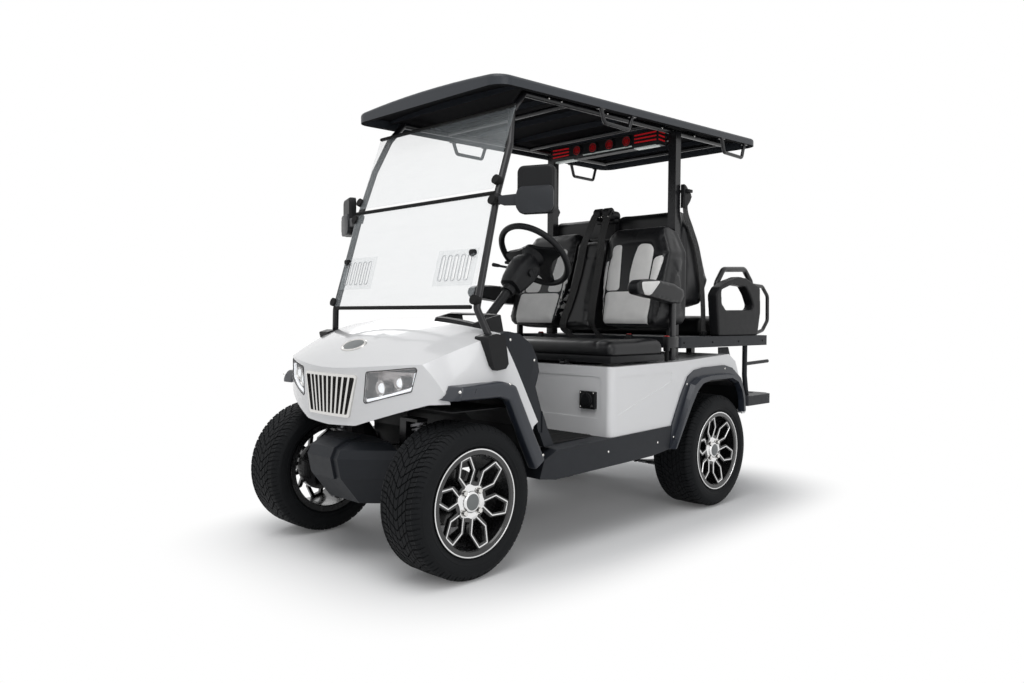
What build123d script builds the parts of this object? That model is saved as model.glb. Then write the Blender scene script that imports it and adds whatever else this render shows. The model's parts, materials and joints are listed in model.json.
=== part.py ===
"""Four-seat golf cart with a rear-facing second row, a canopy roof and a two-piece windscreen.

Frame: +X is the cart's left side, +Y points to its rear, +Z is up, in millimetres.
Every function below works from the front axle (y = 0 there, z = 0 on the ground);
emit() moves the finished piece by FRONT_AXLE_Y, so the written model stands centred on its origin.
"""
from build123d import *
import math
import os

# ---- driving dimensions -------------------------------------------------------------------
FRONT_AXLE_Y = -1097.6         # front axle, from the middle of the overall length
WHEELBASE = 1670.0
TYRE_R = 285.0                 # 22 inch tyre
TYRE_W = 230.0
FRONT_TRACK = 954.0            # between the tyres' middle planes
REAR_TRACK = 980.0
RIM_LIP_R = 198.0              # 14 inch rim, over its flange
RIM_BARREL_R = 172.0           # inside the barrel
RIM_HALF_W = 105.0             # flange face from the tyre's middle plane
BOLT_CIRCLE = 101.6            # four wheel studs
KINGPIN_X = 400.0
STEER_RANGE = 28.0             # degrees each way
SPINDLE_R = 14.0
RUNNING_GAP = 0.05             # radial, spindle in hub
SEAT_GAP = 0.3                 # between a moving piece and what it rests on

WALL = 5.0                     # moulded body panels
BODY_HALF_W = 585.0            # white rear body
COWL_HALF_W = 555.0            # white front body at its lower side
FLARE_OUT = 605.0              # outer face of the wheel flares, front
REAR_FLARE_OUT = 618.0

FLOOR_Z = 440.0                # top of the floor mat
FLOOR_T = 12.0
ROCKER_X = 500.0               # inner face of the sill mouldings
SEAT_BASE_Z = 745.0            # top of the white seat box
BOX_FRONT_Y = 785.0            # its front wall

RAIL_X = 185.0                 # chassis rails, middle
RAIL_W = 40.0
RAIL_H = 60.0
RAIL_Z = 355.0                 # rails' middle height

STRUT_R = 14.0                 # windscreen posts
GLASS_T = 5.0
GLASS_HALF_W = 462.0
POST_W = 45.0                  # square rear posts
POST_X = 412.0
POST_Y = 1518.0
ROOF_RIM = 35.0                # height of the roof's edge
ROOF_WALL = 6.0
ROOF_FRONT = (200.0, 1857.0)   # lower edge of the roof's rim: y, z
ROOF_REAR = (2168.0, 1916.0)

TRAY_Z = (812.0, 867.0)        # rear deck moulding
TRAY_Y = (1382.0, 2305.0)
TRAY_HALF_W = 545.0
STEP_Z = (472.0, 527.0)
STEP_Y = (2113.0, 2441.0)

REAR_Y = WHEELBASE             # rear axle
FRONT_WHEEL_X = FRONT_TRACK / 2
REAR_WHEEL_X = REAR_TRACK / 2


# ---- shape helpers ------------------------------------------------------------------------
def block(x0, x1, y0, y1, z0, z1):
    return Solid.make_box(x1 - x0, y1 - y0, z1 - z0).moved(Location((x0, y0, z0)))


def outline(points, radius=0.0):
    """Closed wire through 3-D points, its corners rounded by one radius."""
    if radius > 0:
        return FilletPolyline(*points, radius=radius, close=True)
    return Polyline(*points, close=True)


def side_prism(points, x0, x1, radius=0.0):
    """Prism along X of an outline given as (y, z)."""
    wire = outline([(x0, y, z) for y, z in points], radius)
    return Solid.extrude(make_face(wire).face(), Vector(x1 - x0, 0, 0))


def plan_prism(points, z0, z1, radius=0.0):
    """Prism along Z of an outline given as (x, y)."""
    wire = outline([(x, y, z0) for x, y in points], radius)
    return Solid.extrude(make_face(wire).face(), Vector(0, 0, z1 - z0))


def front_prism(points, y0, y1, radius=0.0):
    """Prism along Y of an outline given as (x, z)."""
    wire = outline([(x, y0, z) for x, z in points], radius)
    return Solid.extrude(make_face(wire).face(), Vector(0, y1 - y0, 0))


def rod(start, end, radius):
    start, end = Vector(*start), Vector(*end)
    axis = end - start
    return Solid.make_cylinder(radius, axis.length, Plane(origin=start, z_dir=axis))


def tube(points, radius, bend):
    """Round tube through the points, bent at each corner."""
    path = FilletPolyline(*points, radius=bend) if len(points) > 2 else Line(*points)
    section = Plane(origin=path @ 0, z_dir=path % 0) * Circle(radius)
    return sweep(section, path=path).solid()


def both_sides(shape):
    return [shape, shape.mirror(Plane.YZ)]


def fuse(*shapes):
    result = shapes[0]
    for shape in shapes[1:]:
        result = result + shape
    return result


def biggest(shape):
    return max(shape.solids(), key=lambda piece: piece.volume)


def solids_of(shape):
    if isinstance(shape, (list, tuple)):
        found = []
        for item in shape:
            found += solids_of(item)
        return found
    return list(shape.solids())


def emit(name, shape):
    moved = [s.moved(Location((0, FRONT_AXLE_Y, 0))) for s in solids_of(shape)]
    result = moved[0] if len(moved) == 1 else Compound(children=moved)
    export_step(result, f"parts/{name}.step")


# ---- wheels -------------------------------------------------------------------------------
TREAD_GROOVES = (-62.0, -22.0, 22.0, 62.0)   # from the tyre's middle plane
GROOVE_W = 7.0
GROOVE_DEPTH = 7.0
TYRE_WALL = 13.0
BEAD_R = 184.0
FLANGE_T = 8.0
PETALS = 6
HUB_R = 74.0
FACE_X = 76.0                  # outer face of the wheel's centre
SPOKE_T = 16.0
SPOKE_TURN = 15.0              # first spoke loop, from straight up
SPOKE_TILT = 10.0              # the spokes rise towards the rim
HUB_INNER_X = -40.0
DRUM_R = 108.0                 # brake drum behind the spokes
DRUM_X = (HUB_INNER_X + 8, HUB_INNER_X + 34)


def tyre(centre):
    half = TYRE_W / 2
    bead_x = RIM_HALF_W - FLANGE_T
    shoulder = [(bead_x, BEAD_R), (bead_x, RIM_LIP_R + 2), (half - 7, 210), (half, 236),
                (half - 2, 256), (half - 17, 277), (half - 32, TYRE_R - 0.6)]
    tread = []
    for x in reversed(TREAD_GROOVES):
        tread += [(x + GROOVE_W / 2, TYRE_R), (x + GROOVE_W / 2, TYRE_R - GROOVE_DEPTH),
                  (x - GROOVE_W / 2, TYRE_R - GROOVE_DEPTH), (x - GROOVE_W / 2, TYRE_R)]
    outer = shoulder + tread + [(-x, r) for x, r in reversed(shoulder)]
    inner = [(-bead_x + TYRE_WALL, BEAD_R), (-half + TYRE_WALL, 236), (-half + 30, TYRE_R - 18),
             (half - 30, TYRE_R - 18), (half - TYRE_WALL, 236), (bead_x - TYRE_WALL, BEAD_R)]
    face = make_face(Polyline(*[(x, 0, r) for x, r in outer + inner], close=True)).face()
    return Solid.revolve(face, 360, Axis.X).moved(Location(centre))


def petal():
    """One hexagonal loop of two spokes, lying flat round +Z, hub end down."""
    outer = [(-18, HUB_R - 22), (-45, 110), (-27, 177), (27, 177), (45, 110), (18, HUB_R - 22)]
    inner = [(-4, HUB_R - 6), (-30, 113), (-15, 163), (15, 163), (30, 113), (4, HUB_R - 6)]
    ring = Solid.extrude(make_face(Polyline(*[(0, y, z) for y, z in outer], close=True)).face(), Vector(SPOKE_T, 0, 0))
    hole = Solid.extrude(make_face(Polyline(*[(-1, y, z) for y, z in inner], close=True)).face(),
                         Vector(SPOKE_T + 2, 0, 0))
    tilted = (ring - hole).rotate(Axis((0, 0, HUB_R - 20), (0, 1, 0)), SPOKE_TILT)
    return tilted.moved(Location((FACE_X - SPOKE_T - 2, 0, 0)))


def rim(centre, side):
    """Barrel, six spoke loops, brake drum, hub, cap and four nuts. side is +1 on the left."""
    lip = RIM_HALF_W
    seat = lip - FLANGE_T
    barrel_pts = [(lip, RIM_LIP_R), (seat, RIM_LIP_R), (seat, BEAD_R - 1), (50, BEAD_R - 1), (40, BEAD_R - 5),
                  (-40, BEAD_R - 5), (-50, BEAD_R - 1), (-seat, BEAD_R - 1), (-seat, RIM_LIP_R), (-lip, RIM_LIP_R),
                  (-lip, BEAD_R - 8), (-lip + 6, RIM_BARREL_R), (lip - 6, RIM_BARREL_R), (lip, BEAD_R - 8)]
    barrel = Solid.revolve(make_face(Polyline(*[(x, 0, r) for x, r in barrel_pts], close=True)).face(), 360, Axis.X)
    disc = rod((FACE_X - 26, 0, 0), (FACE_X, 0, 0), HUB_R)
    boss = rod((HUB_INNER_X, 0, 0), (FACE_X - 20, 0, 0), 34)
    drum = rod((DRUM_X[0], 0, 0), (DRUM_X[1], 0, 0), DRUM_R)
    cap = rod((FACE_X - 2, 0, 0), (FACE_X + 8, 0, 0), 31)
    loops = petal()
    spokes = [loops.rotate(Axis.X, 360 / PETALS * i + SPOKE_TURN) for i in range(PETALS)]
    bounds = Solid.make_cylinder(RIM_BARREL_R + 3, 2 * lip, Plane(origin=(-lip, 0, 0), z_dir=(1, 0, 0)))
    nuts = []
    for i in range(4):
        angle = math.radians(45 + 90 * i)
        y, z = BOLT_CIRCLE / 2 * math.cos(angle), BOLT_CIRCLE / 2 * math.sin(angle)
        nuts.append(rod((FACE_X - 2, y, z), (FACE_X + 12, y, z), 10))
    wheel = fuse(barrel, disc, boss, drum, cap, *nuts)
    for spoke in spokes:
        wheel = wheel + (spoke & bounds)
    wheel = wheel - rod((HUB_INNER_X - 1, 0, 0), (FACE_X - 8, 0, 0), SPINDLE_R + RUNNING_GAP)
    if side < 0:
        wheel = wheel.mirror(Plane.YZ)
    return wheel.moved(Location(centre))


# ---- steering and front suspension --------------------------------------------------------
ARM_END_Y = 120.0              # tie rod eye, behind the axle
ARM_END_X = KINGPIN_X          # arms straight back, so the rod and the axle stay parallel
ARM_Z = 262.0
TIE_ROD_R = 9.0
JOINT_LOW_Z = 201.0            # middle of the lower arm
JOINT_HIGH_Z = 371.0
ARM_T = 20.0
ARM_T_HIGH = 14.0
ARM_HALF_LOW = 92.0            # half the spread of an arm's two legs, clear of the tie rod's sweep
ARM_HALF_HIGH = 80.0


def knuckle(side):
    low = JOINT_LOW_Z + ARM_T / 2 + SEAT_GAP
    high = JOINT_HIGH_Z - ARM_T_HIGH / 2 - SEAT_GAP
    upright = block(KINGPIN_X - 16, KINGPIN_X + 16, -20, 20, low, high)
    spindle_start = FRONT_WHEEL_X + HUB_INNER_X - 8
    boss = rod((KINGPIN_X, 0, TYRE_R), (spindle_start, 0, TYRE_R), 26)
    spindle = rod((KINGPIN_X, 0, TYRE_R), (FRONT_WHEEL_X + FACE_X - 12, 0, TYRE_R), SPINDLE_R)
    arm = plan_prism([(KINGPIN_X - 16, -12), (KINGPIN_X + 16, -12), (KINGPIN_X + 12, 50),
                      (ARM_END_X + 15, ARM_END_Y + 14), (ARM_END_X - 15, ARM_END_Y + 14), (KINGPIN_X - 12, 50)],
                     ARM_Z - 8, ARM_Z + 8, radius=8)
    body = fuse(upright, boss, spindle, arm)
    return body if side > 0 else body.mirror(Plane.YZ)


def tie_rod():
    z = ARM_Z + 8 + TIE_ROD_R + 4
    bar = rod((-ARM_END_X + 14, ARM_END_Y, z), (ARM_END_X - 14, ARM_END_Y, z), TIE_ROD_R)
    eyes = []
    for x in (-ARM_END_X, ARM_END_X):
        eyes.append(rod((x, ARM_END_Y, ARM_Z + 8 + SEAT_GAP), (x, ARM_END_Y, z + 12), 16))
    return fuse(bar, *eyes)


def wishbone(z, inner_half, gap_ball):
    """Forked arm from the chassis bracket to the ball joint."""
    plan = [(KINGPIN_X - 26, -20), (KINGPIN_X + 14, -16), (KINGPIN_X + 14, 16), (KINGPIN_X - 26, 20),
            (RAIL_X + 45, inner_half), (RAIL_X + 22, inner_half), (RAIL_X + 22, inner_half - 34),
            (RAIL_X + 100, 0), (RAIL_X + 22, -inner_half + 34), (RAIL_X + 22, -inner_half), (RAIL_X + 45, -inner_half)]
    return plan_prism(plan, z - gap_ball / 2, z + gap_ball / 2, radius=4)


COIL_TOP = (RAIL_X + 62, 0.0, 548.0)
COIL_FOOT = (330.0, 0.0, 214.0)


def front_suspension():
    low = wishbone(JOINT_LOW_Z, ARM_HALF_LOW, ARM_T)
    high = wishbone(JOINT_HIGH_Z, ARM_HALF_HIGH, ARM_T_HIGH)
    high = high - rod((COIL_FOOT[0], 0, COIL_FOOT[2] - 30), COIL_TOP, 40)
    damper = rod(COIL_FOOT, COIL_TOP, 13)
    axis = Vector(*COIL_TOP) - Vector(*COIL_FOOT)
    coils = []
    turns = 9
    for i in range(turns):
        centre = Vector(*COIL_FOOT) + axis * (0.28 + 0.64 * i / (turns - 1))
        coils.append(Solid.make_torus(26, 5.5, Plane(origin=centre, z_dir=axis)))
    seat_low = Vector(*COIL_FOOT) + axis * 0.22
    seat_high = Vector(*COIL_FOOT) + axis * 0.95
    cups = []
    for place in (seat_low, seat_high):
        cups.append(Solid.make_cylinder(33, 10, Plane(origin=place, z_dir=axis)))
    spine = Solid.make_cylinder(22, axis.length * 0.7, Plane(origin=seat_low, z_dir=axis))
    left = fuse(low, damper, spine, *cups, *coils) - block(200, 400, -60, 60, COIL_TOP[2], COIL_TOP[2] + 60)
    return both_sides(left) + both_sides(high)


# ---- chassis ------------------------------------------------------------------------------
CROSS_Y = (-130.0, 330.0, 800.0, 1260.0, 2060.0)
SPRING_X = 305.0
SPRING_W = 50.0
SPRING_EYES = (1330.0, 2010.0)
SPRING_Z = 250.0               # eyes' height
SPRING_DROP = 40.0             # the arch of the leaves


def chassis():
    z0, z1 = RAIL_Z - RAIL_H / 2, RAIL_Z + RAIL_H / 2
    parts = []
    for x in (-RAIL_X, RAIL_X):
        parts.append(block(x - RAIL_W / 2, x + RAIL_W / 2, CROSS_Y[0] - 20, 2090, z0, z1))
        parts.append(block(x / 3 - 12, x / 3 + 12, -276, CROSS_Y[0], z0 + 14, z0 + 26))
    for y in CROSS_Y:
        parts.append(block(-RAIL_X, RAIL_X, y - 20, y + 20, z0 + 10, z1 - 10))
    for y in (470.0, 1180.0):
        parts.append(block(-ROCKER_X + 4, ROCKER_X - 4, y - 20, y + 20, z0 + 20, z1))
    for x in (-RAIL_X, RAIL_X):
        side = 1 if x > 0 else -1
        tower = [(-34, z1 - 5), (34, z1 - 5), (26, COIL_TOP[2] + 12), (-26, COIL_TOP[2] + 12)]
        inner = x + side * RAIL_W / 2
        parts.append(side_prism(tower, inner - side * RAIL_W, inner - side * 2))
        cap_end = side * (COIL_TOP[0] + 24)
        parts.append(block(min(inner - side * 12, cap_end), max(inner - side * 12, cap_end), -26, 26,
                           COIL_TOP[2], COIL_TOP[2] + 12))
        for z, half in ((JOINT_LOW_Z, ARM_HALF_LOW), (JOINT_HIGH_Z, ARM_HALF_HIGH)):
            for y in (-half + 17, half - 17):
                ear = block(min(x, x + side * (RAIL_W / 2 + 2)), max(x, x + side * (RAIL_W / 2 + 2)),
                            y - 14, y + 14, min(z - 12, z0 + 5), max(z + 12, z0 + 10))
                parts.append(ear)
        for y in SPRING_EYES:
            reach = side * (SPRING_X + SPRING_W / 2 + 6)
            parts.append(block(min(x, reach), max(x, reach), y - 16, y + 16, z0 + 24, z1))
            for edge in (-1, 1):
                wall_x = side * SPRING_X + edge * (SPRING_W / 2 + 2.5)
                parts.append(block(wall_x - 2.5, wall_x + 2.5, y - 16, y + 16, SPRING_Z - 14, z0 + 30))
    frame = fuse(*parts) - front_bumper()
    return biggest(frame)


def leaf_springs():
    thick = 8.0
    half = (SPRING_EYES[1] - SPRING_EYES[0]) / 2
    centre_y = (SPRING_EYES[0] + SPRING_EYES[1]) / 2
    drop = SPRING_DROP
    radius = (half * half + drop * drop) / (2 * drop)
    leaf = None
    for i, share in enumerate((1.0, 0.74, 0.48)):
        reach = half * share
        outer_r = radius + thick * (i + 1)
        inner_r = radius + thick * i
        arc_centre = (centre_y, SPRING_Z - drop + radius)
        angle = math.asin(reach / (radius + thick))
        ring = Solid.make_cylinder(outer_r, SPRING_W, Plane(origin=(SPRING_X - SPRING_W / 2, *arc_centre), z_dir=(1, 0, 0)))
        ring = ring - Solid.make_cylinder(inner_r, SPRING_W, Plane(origin=(SPRING_X - SPRING_W / 2, *arc_centre),
                                                                   z_dir=(1, 0, 0)))
        keep = block(SPRING_X - SPRING_W / 2, SPRING_X + SPRING_W / 2, centre_y - reach, centre_y + reach,
                     SPRING_Z - drop - 60, SPRING_Z + 6)
        piece = ring & keep
        leaf = piece if leaf is None else leaf + piece
    for y in SPRING_EYES:
        leaf = leaf + rod((SPRING_X - SPRING_W / 2, y, SPRING_Z), (SPRING_X + SPRING_W / 2, y, SPRING_Z), 13)
    return both_sides(leaf)


AXLE_R = 32.0
REAR_HUB_X = 388.0             # inner face of the rear hubs


def rear_axle():
    tube_part = rod((-REAR_HUB_X + 14, REAR_Y, TYRE_R), (REAR_HUB_X - 14, REAR_Y, TYRE_R), AXLE_R)
    gear_case = rod((-75, REAR_Y, TYRE_R), (60, REAR_Y, TYRE_R), 92)
    motor = rod((-155, REAR_Y - 195, TYRE_R + 5), (55, REAR_Y - 195, TYRE_R + 5), 92)
    neck = block(-70, 50, REAR_Y - 190, REAR_Y, TYRE_R - 60, TYRE_R + 60)
    parts = [tube_part, gear_case, motor, neck]
    pad_z = SPRING_Z - SPRING_DROP + 0.4
    for side in (-1, 1):
        x0, x1 = sorted((side * (SPRING_X - SPRING_W / 2), side * (SPRING_X + SPRING_W / 2)))
        parts.append(block(x0, x1, REAR_Y - 32, REAR_Y + 32, pad_z, TYRE_R))
        drum_in = side * (REAR_HUB_X - 30)
        parts.append(rod((drum_in, REAR_Y, TYRE_R), (side * REAR_HUB_X, REAR_Y, TYRE_R), 95))
        parts.append(rod((drum_in, REAR_Y, TYRE_R), (side * (REAR_WHEEL_X + FACE_X - 12), REAR_Y, TYRE_R), SPINDLE_R))
    return fuse(*parts)


# ---- front body ---------------------------------------------------------------------------
NOSE_R = 990.0                 # plan radius of the nose
NOSE_Y = -252.0                # front of the nose on the centre line
# bonnet sections: y, half width low, half width at the shoulder, shoulder z, crown z
COWL_SECTIONS = (
    (-300.0, 520.0, 400.0, 712.0, 716.0),
    (-127.0, 540.0, 455.0, 792.0, 845.0),
    (90.0, COWL_HALF_W, 536.0, 878.0, 938.0),
    (380.0, COWL_HALF_W, 550.0, 950.0, 1010.0),
)
COWL_FLOOR = 500.0
COWL_BELT = 640.0              # height where the side starts to lean in
# lower edge of the nose seen from the front: x, z
LIP = ((0, 537), (165, 545), (340, 600), (470, 640), (700, 655))
# rear edge of the white cowl seen from the side: y, z
COWL_REAR = ((108, 965), (141, 903), (352, 546), (326, 530))
FLARE_F_OUT = ((-168, 668), (-127, 709), (117, 721), (186, 702), (281, 523), (352, 400))
FLARE_F_IN = ((-178, 650), (-100, 660), (104, 660), (150, 645), (226, 500), (298, 366))
ARCH_F_CUT = ((-90, 690), (117, 700), (172, 688), (262, 515), (330, 400), (330, 380), (-90, 380))
FLARE_R_OUT = ((1230, 340), (1248, 453), (1325, 591), (1386, 678), (1442, 706), (1524, 716), (1725, 720), (1807, 703),
               (1904, 644), (1950, 550), (1960, 468))
FLARE_R_CREST = ((1240, 342), (1304, 449), (1366, 573), (1404, 640), (1461, 670), (1553, 678), (1700, 679), (1790, 674),
                 (1850, 640), (1900, 560), (1914, 468))
FLARE_R_IN = ((1256, 345), (1313, 428), (1389, 537), (1444, 603), (1487, 634), (1560, 648), (1782, 648), (1839, 622),
              (1874, 576), (1888, 530), (1892, 468))
ARCH_R_CUT = ((1290, 400), (1290, 460), (1345, 562), (1402, 640), (1450, 676), (1530, 690), (1785, 688), (1860, 645),
              (1918, 560), (1930, 455), (1930, 400))
FLARE_WRAP = 45.0              # how far the front flare stands ahead of the nose
FLARE_SOFT = 8.0
LIP_LEAN = 0.16                # share of the lip's width that each side draws in
FLARE_FLANGE = 8.0             # flat edge that lies on the body


def nose_form(grow):
    """Everything behind the nose's rounded front."""
    drum = Solid.make_cylinder(NOSE_R + grow, 800, Plane(origin=(0, NOSE_Y + NOSE_R, 300), z_dir=(0, 0, 1)))
    return drum + block(-800, 800, NOSE_Y + NOSE_R - 60, 1900, 300, 1100)


made_forms = {}


def cowl_form(inset):
    """Bonnet and front sides as one closed form, drawn in by inset; each inset is made once."""
    if inset in made_forms:
        return made_forms[inset]
    wires = []
    for y, low, shoulder, shoulder_z, crown_z in COWL_SECTIONS:
        z_low = COWL_FLOOR - (20 if inset > 0 else 0)
        a = Vector(-low + inset, y, z_low)
        b = Vector(-low + inset, y, COWL_BELT)
        c = Vector(-shoulder + inset, y, shoulder_z - inset)
        top = Vector(0, y, crown_z - inset)
        c2, b2, a2 = (Vector(-v.X, v.Y, v.Z) for v in (c, b, a))
        wires.append(Wire([Edge.make_line(a, b), Edge.make_line(b, c), Edge.make_three_point_arc(c, top, c2),
                           Edge.make_line(c2, b2), Edge.make_line(b2, a2), Edge.make_line(a2, a)]))
    made_forms[inset] = Solid.make_loft(wires, ruled=False) & nose_form(-inset)
    return made_forms[inset]


def front_cowl():
    shell = cowl_form(0) - cowl_form(WALL)
    below = front_prism(list(LIP) + [(700, 380), (0, 380)], -400, -60)
    for piece in both_sides(below):
        shell = shell - piece
    shell = shell - side_prism(ARCH_F_CUT, -700, 700)
    behind = [COWL_REAR[0], COWL_REAR[1], COWL_REAR[2], COWL_REAR[3], (280, 380), (600, 380), (600, 1100), (108, 1100)]
    shell = shell - side_prism(behind, -700, 700)
    shell = shell - front_prism(grille_outline(0), -400, -100, 12)
    for piece in both_sides(lamp_prism(0)):
        shell = shell - piece
    for post in both_sides(strut()):
        shell = shell - post
    return shell


GRILLE_TOP = (180.0, 737.0)    # upper corner: x, z
GRILLE_LOW = (138.0, 573.0)
GRILLE_FRAME = 11.0
SLATS = 9
SLAT_W = 11.0
LAMP = ((207, 629), (219, 751), (434, 775), (412, 684))


def grille_outline(grow):
    (top_x, top_z), (low_x, low_z) = GRILLE_TOP, GRILLE_LOW
    return [(-top_x - grow, top_z + grow), (top_x + grow, top_z + grow),
            (low_x + grow, low_z - grow), (-low_x - grow, low_z - grow)]


def grille():
    """Frame and upright slats that follow the nose."""
    ring = front_prism(grille_outline(0), -400, -100, 12) - front_prism(grille_outline(-GRILLE_FRAME), -401, -99, 6)
    bars = (cowl_form(-6) - cowl_form(13)) & ring
    slat_skin = cowl_form(-3) - cowl_form(13)
    for i in range(SLATS):
        share = (i + 1) / (SLATS + 1) * 2 - 1
        top_x = share * (GRILLE_TOP[0] - GRILLE_FRAME)
        low_x = share * (GRILLE_LOW[0] - GRILLE_FRAME)
        slat = front_prism([(top_x - SLAT_W / 2, GRILLE_TOP[1] - 5), (top_x + SLAT_W / 2, GRILLE_TOP[1] - 5),
                            (low_x + SLAT_W / 2, GRILLE_LOW[1] + 5), (low_x - SLAT_W / 2, GRILLE_LOW[1] + 5)],
                           -400, -100)
        bars = bars + (slat_skin & slat)
    return bars


def grille_back():
    """Dark plate behind the slats, fixed to the inside of the nose."""
    plate = (cowl_form(13) - cowl_form(17)) & front_prism(grille_outline(16), -400, -100)
    rim_plate = (cowl_form(WALL) - cowl_form(13)) & (front_prism(grille_outline(16), -400, -100)
                                                     - front_prism(grille_outline(4), -401, -99))
    return plate + rim_plate


def lamp_prism(grow):
    (ax, az), (bx, bz), (cx, cz), (dx, dz) = LAMP
    points = [(ax - grow, az - grow), (bx - grow, bz + grow), (cx + grow, cz + grow), (dx + grow, dz - grow)]
    return front_prism(points, -400, -60, 10)


def headlamp_lenses():
    return both_sides((cowl_form(0) - cowl_form(4)) & lamp_prism(-0.4))


def headlamp_bowls():
    """Housing behind each lens, open to the front, with two lamp barrels."""
    cup = (cowl_form(WALL) - cowl_form(62)) & lamp_prism(7)
    cup = cup - ((cowl_form(0) - cowl_form(52)) & lamp_prism(-5))
    depth = cowl_form(20) - cowl_form(56)
    low_beam = depth & rod((270, -400, 692), (270, 0, 692), 27)
    high_beam = depth & rod((346, -400, 714), (346, 0, 714), 24)
    return both_sides(cup + low_beam + high_beam)


def flare_band(outer, inner, x0, x1):
    return side_prism(list(outer) + list(reversed(inner)), x0, x1)


def soften_outer(piece):
    face = piece.faces().sort_by(Axis.X)[-1]
    return chamfer(face.edges(), FLARE_SOFT).solid()


def front_flares():
    side = soften_outer(flare_band(FLARE_F_OUT, FLARE_F_IN, COWL_HALF_W, FLARE_OUT))
    side = side & nose_form(FLARE_WRAP)
    corner = flare_band(FLARE_F_OUT, FLARE_F_IN, 470, COWL_HALF_W) & block(400, 700, -300, 60, 300, 800)
    corner = corner & nose_form(FLARE_WRAP)
    return both_sides(biggest((side + corner) - cowl_form(0)))


def between(near, far, share):
    """Points that lie a share of the way from one row of points to the other."""
    return [(y0 + (y1 - y0) * share, z0 + (z1 - z0) * share) for (y0, z0), (y1, z1) in zip(near, far)]


def rear_flares():
    flange = flare_band(FLARE_R_OUT, FLARE_R_IN, BODY_HALF_W, BODY_HALF_W + FLARE_FLANGE)
    sections = []
    for x, share in ((BODY_HALF_W + FLARE_FLANGE, 0.0), (REAR_FLARE_OUT, LIP_LEAN)):
        loop = between(FLARE_R_CREST, FLARE_R_IN, share) + between(FLARE_R_IN, FLARE_R_CREST, share)[::-1]
        sections.append(Wire.make_polygon([(x, y, z) for y, z in loop], close=True))
    lip = Solid.make_loft(sections, ruled=True)
    return both_sides((flange + lip).solid())


# bumper's side outline: y, z, and the same drawn in by its wall
BUMPER_FORM = ((-60, 494), (-214, 474), (-262, 448), (-278, 415), (-262, 340), (-240, 312), (-176, 232), (-60, 240))
BUMPER_INNER = ((-30, 488), (-211, 468), (-257, 443), (-272, 415), (-256, 343), (-235, 317), (-174, 239), (-30, 247))
BUMPER_CORNER = 105.0          # half width of the front face
BUMPER_WING = (262.0, 150.0)   # half width at the wing's end, and how far it is swept back
BUMPER_REAR = -112.0
BUMPER_WALL = 6.0


def bumper_section(form, x, back):
    return Wire(Polyline(*[(x, y + back, z) for y, z in form], close=True).edges())


def bumper_loft(form, inset):
    wing_x, back = BUMPER_WING
    stations = [bumper_section(form, -wing_x + inset, back), bumper_section(form, -BUMPER_CORNER + inset * 0.4, 0),
                bumper_section(form, BUMPER_CORNER - inset * 0.4, 0), bumper_section(form, wing_x - inset, back)]
    return Solid.make_loft(stations, ruled=True)


def front_bumper():
    """Hollow moulded cover with a raised middle, swept back at both ends."""
    ridge = side_prism(((-150, 490), (-220, 482), (-270, 454), (-287, 416), (-270, 334), (-150, 334)), -72, 72)
    cover = (bumper_loft(BUMPER_FORM, 0) + ridge) - bumper_loft(BUMPER_INNER, BUMPER_WALL)
    return biggest(cover & block(-400, 400, -400, BUMPER_REAR, 100, 700))


LINER_T = 4.0
FRONT_LINER = ((-80, 612), (205, 612), (300, 530), (350, 440), (352, 345))
REAR_LINER = ((1345, 400), (1380, 520), (1470, 615), (1560, 640), (1780, 640), (1880, 600), (1940, 470))
LINER_X = (224.0, 538.0)
REAR_LINER_X = (345.0, BODY_HALF_W - WALL)


def band(points, thick):
    """Open chain (y, z) given a thickness on its upper side."""
    upper = []
    count = len(points)
    for i in range(count):
        ahead = points[min(i + 1, count - 1)]
        back = points[max(i - 1, 0)]
        dy, dz = ahead[0] - back[0], ahead[1] - back[1]
        size = math.hypot(dy, dz)
        upper.append((points[i][0] - dz / size * thick, points[i][1] + dy / size * thick))
    return list(points) + upper[::-1]


def arch_liners():
    front = side_prism(band(FRONT_LINER, LINER_T), *LINER_X) - side_prism(SILL, ROCKER_X - 1, SILL_OUT)
    rear = side_prism(band(REAR_LINER, LINER_T), *REAR_LINER_X)
    rear = rear + flare_band(FLARE_R_OUT[1:8], REAR_LINER[:5], REAR_LINER_X[1] - LINER_T, REAR_LINER_X[1])
    return both_sides(front) + both_sides(rear)


# ---- dashboard, floor and sills -----------------------------------------------------------
SIDE_COVER = ((141, 903), (178, 905), (249, 893), (316, 850), (352, 790), (364, 743), (341, 685), (377, 592),
              (414, 509), (451, 441), (392, 441), (354, 520), (352, 546))
COVER_X = (COWL_HALF_W - 23, COWL_HALF_W - 1)
DASH = ((130, 905), (249, 893), (316, 850), (350, 790), (345, 760), (180, 790), (150, 830))
DASH_WALL = 6.0
BIN = (55.0, 455.0)            # open storage each side: x limits
HOOD = ((150, 890), (196, 984), (322, 972), (345, 880))
HOOD_X = (130.0, 372.0)
PAD = ((60, 884), (103, 896), (152, 890), (172, 782), (158, 764), (108, 758), (92, 776))
PAD_X = (500.0, COWL_HALF_W + 16)
TOE_BOARD = ((345, 760), (341, 690), (377, 592), (414, 509), (455, 440))


def side_covers():
    cover = side_prism(SIDE_COVER, *COVER_X) - cowl_skin() - post_covers()[0]
    return both_sides(biggest(cover))


def cowl_skin():
    return cowl_form(0) - cowl_form(WALL)


def post_covers():
    shape = side_prism(PAD, *PAD_X, radius=7) - (cowl_form(0) & block(400, 700, 0, 400, 500, 1100))
    shape = biggest(shape)
    return both_sides(shape - strut())


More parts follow.
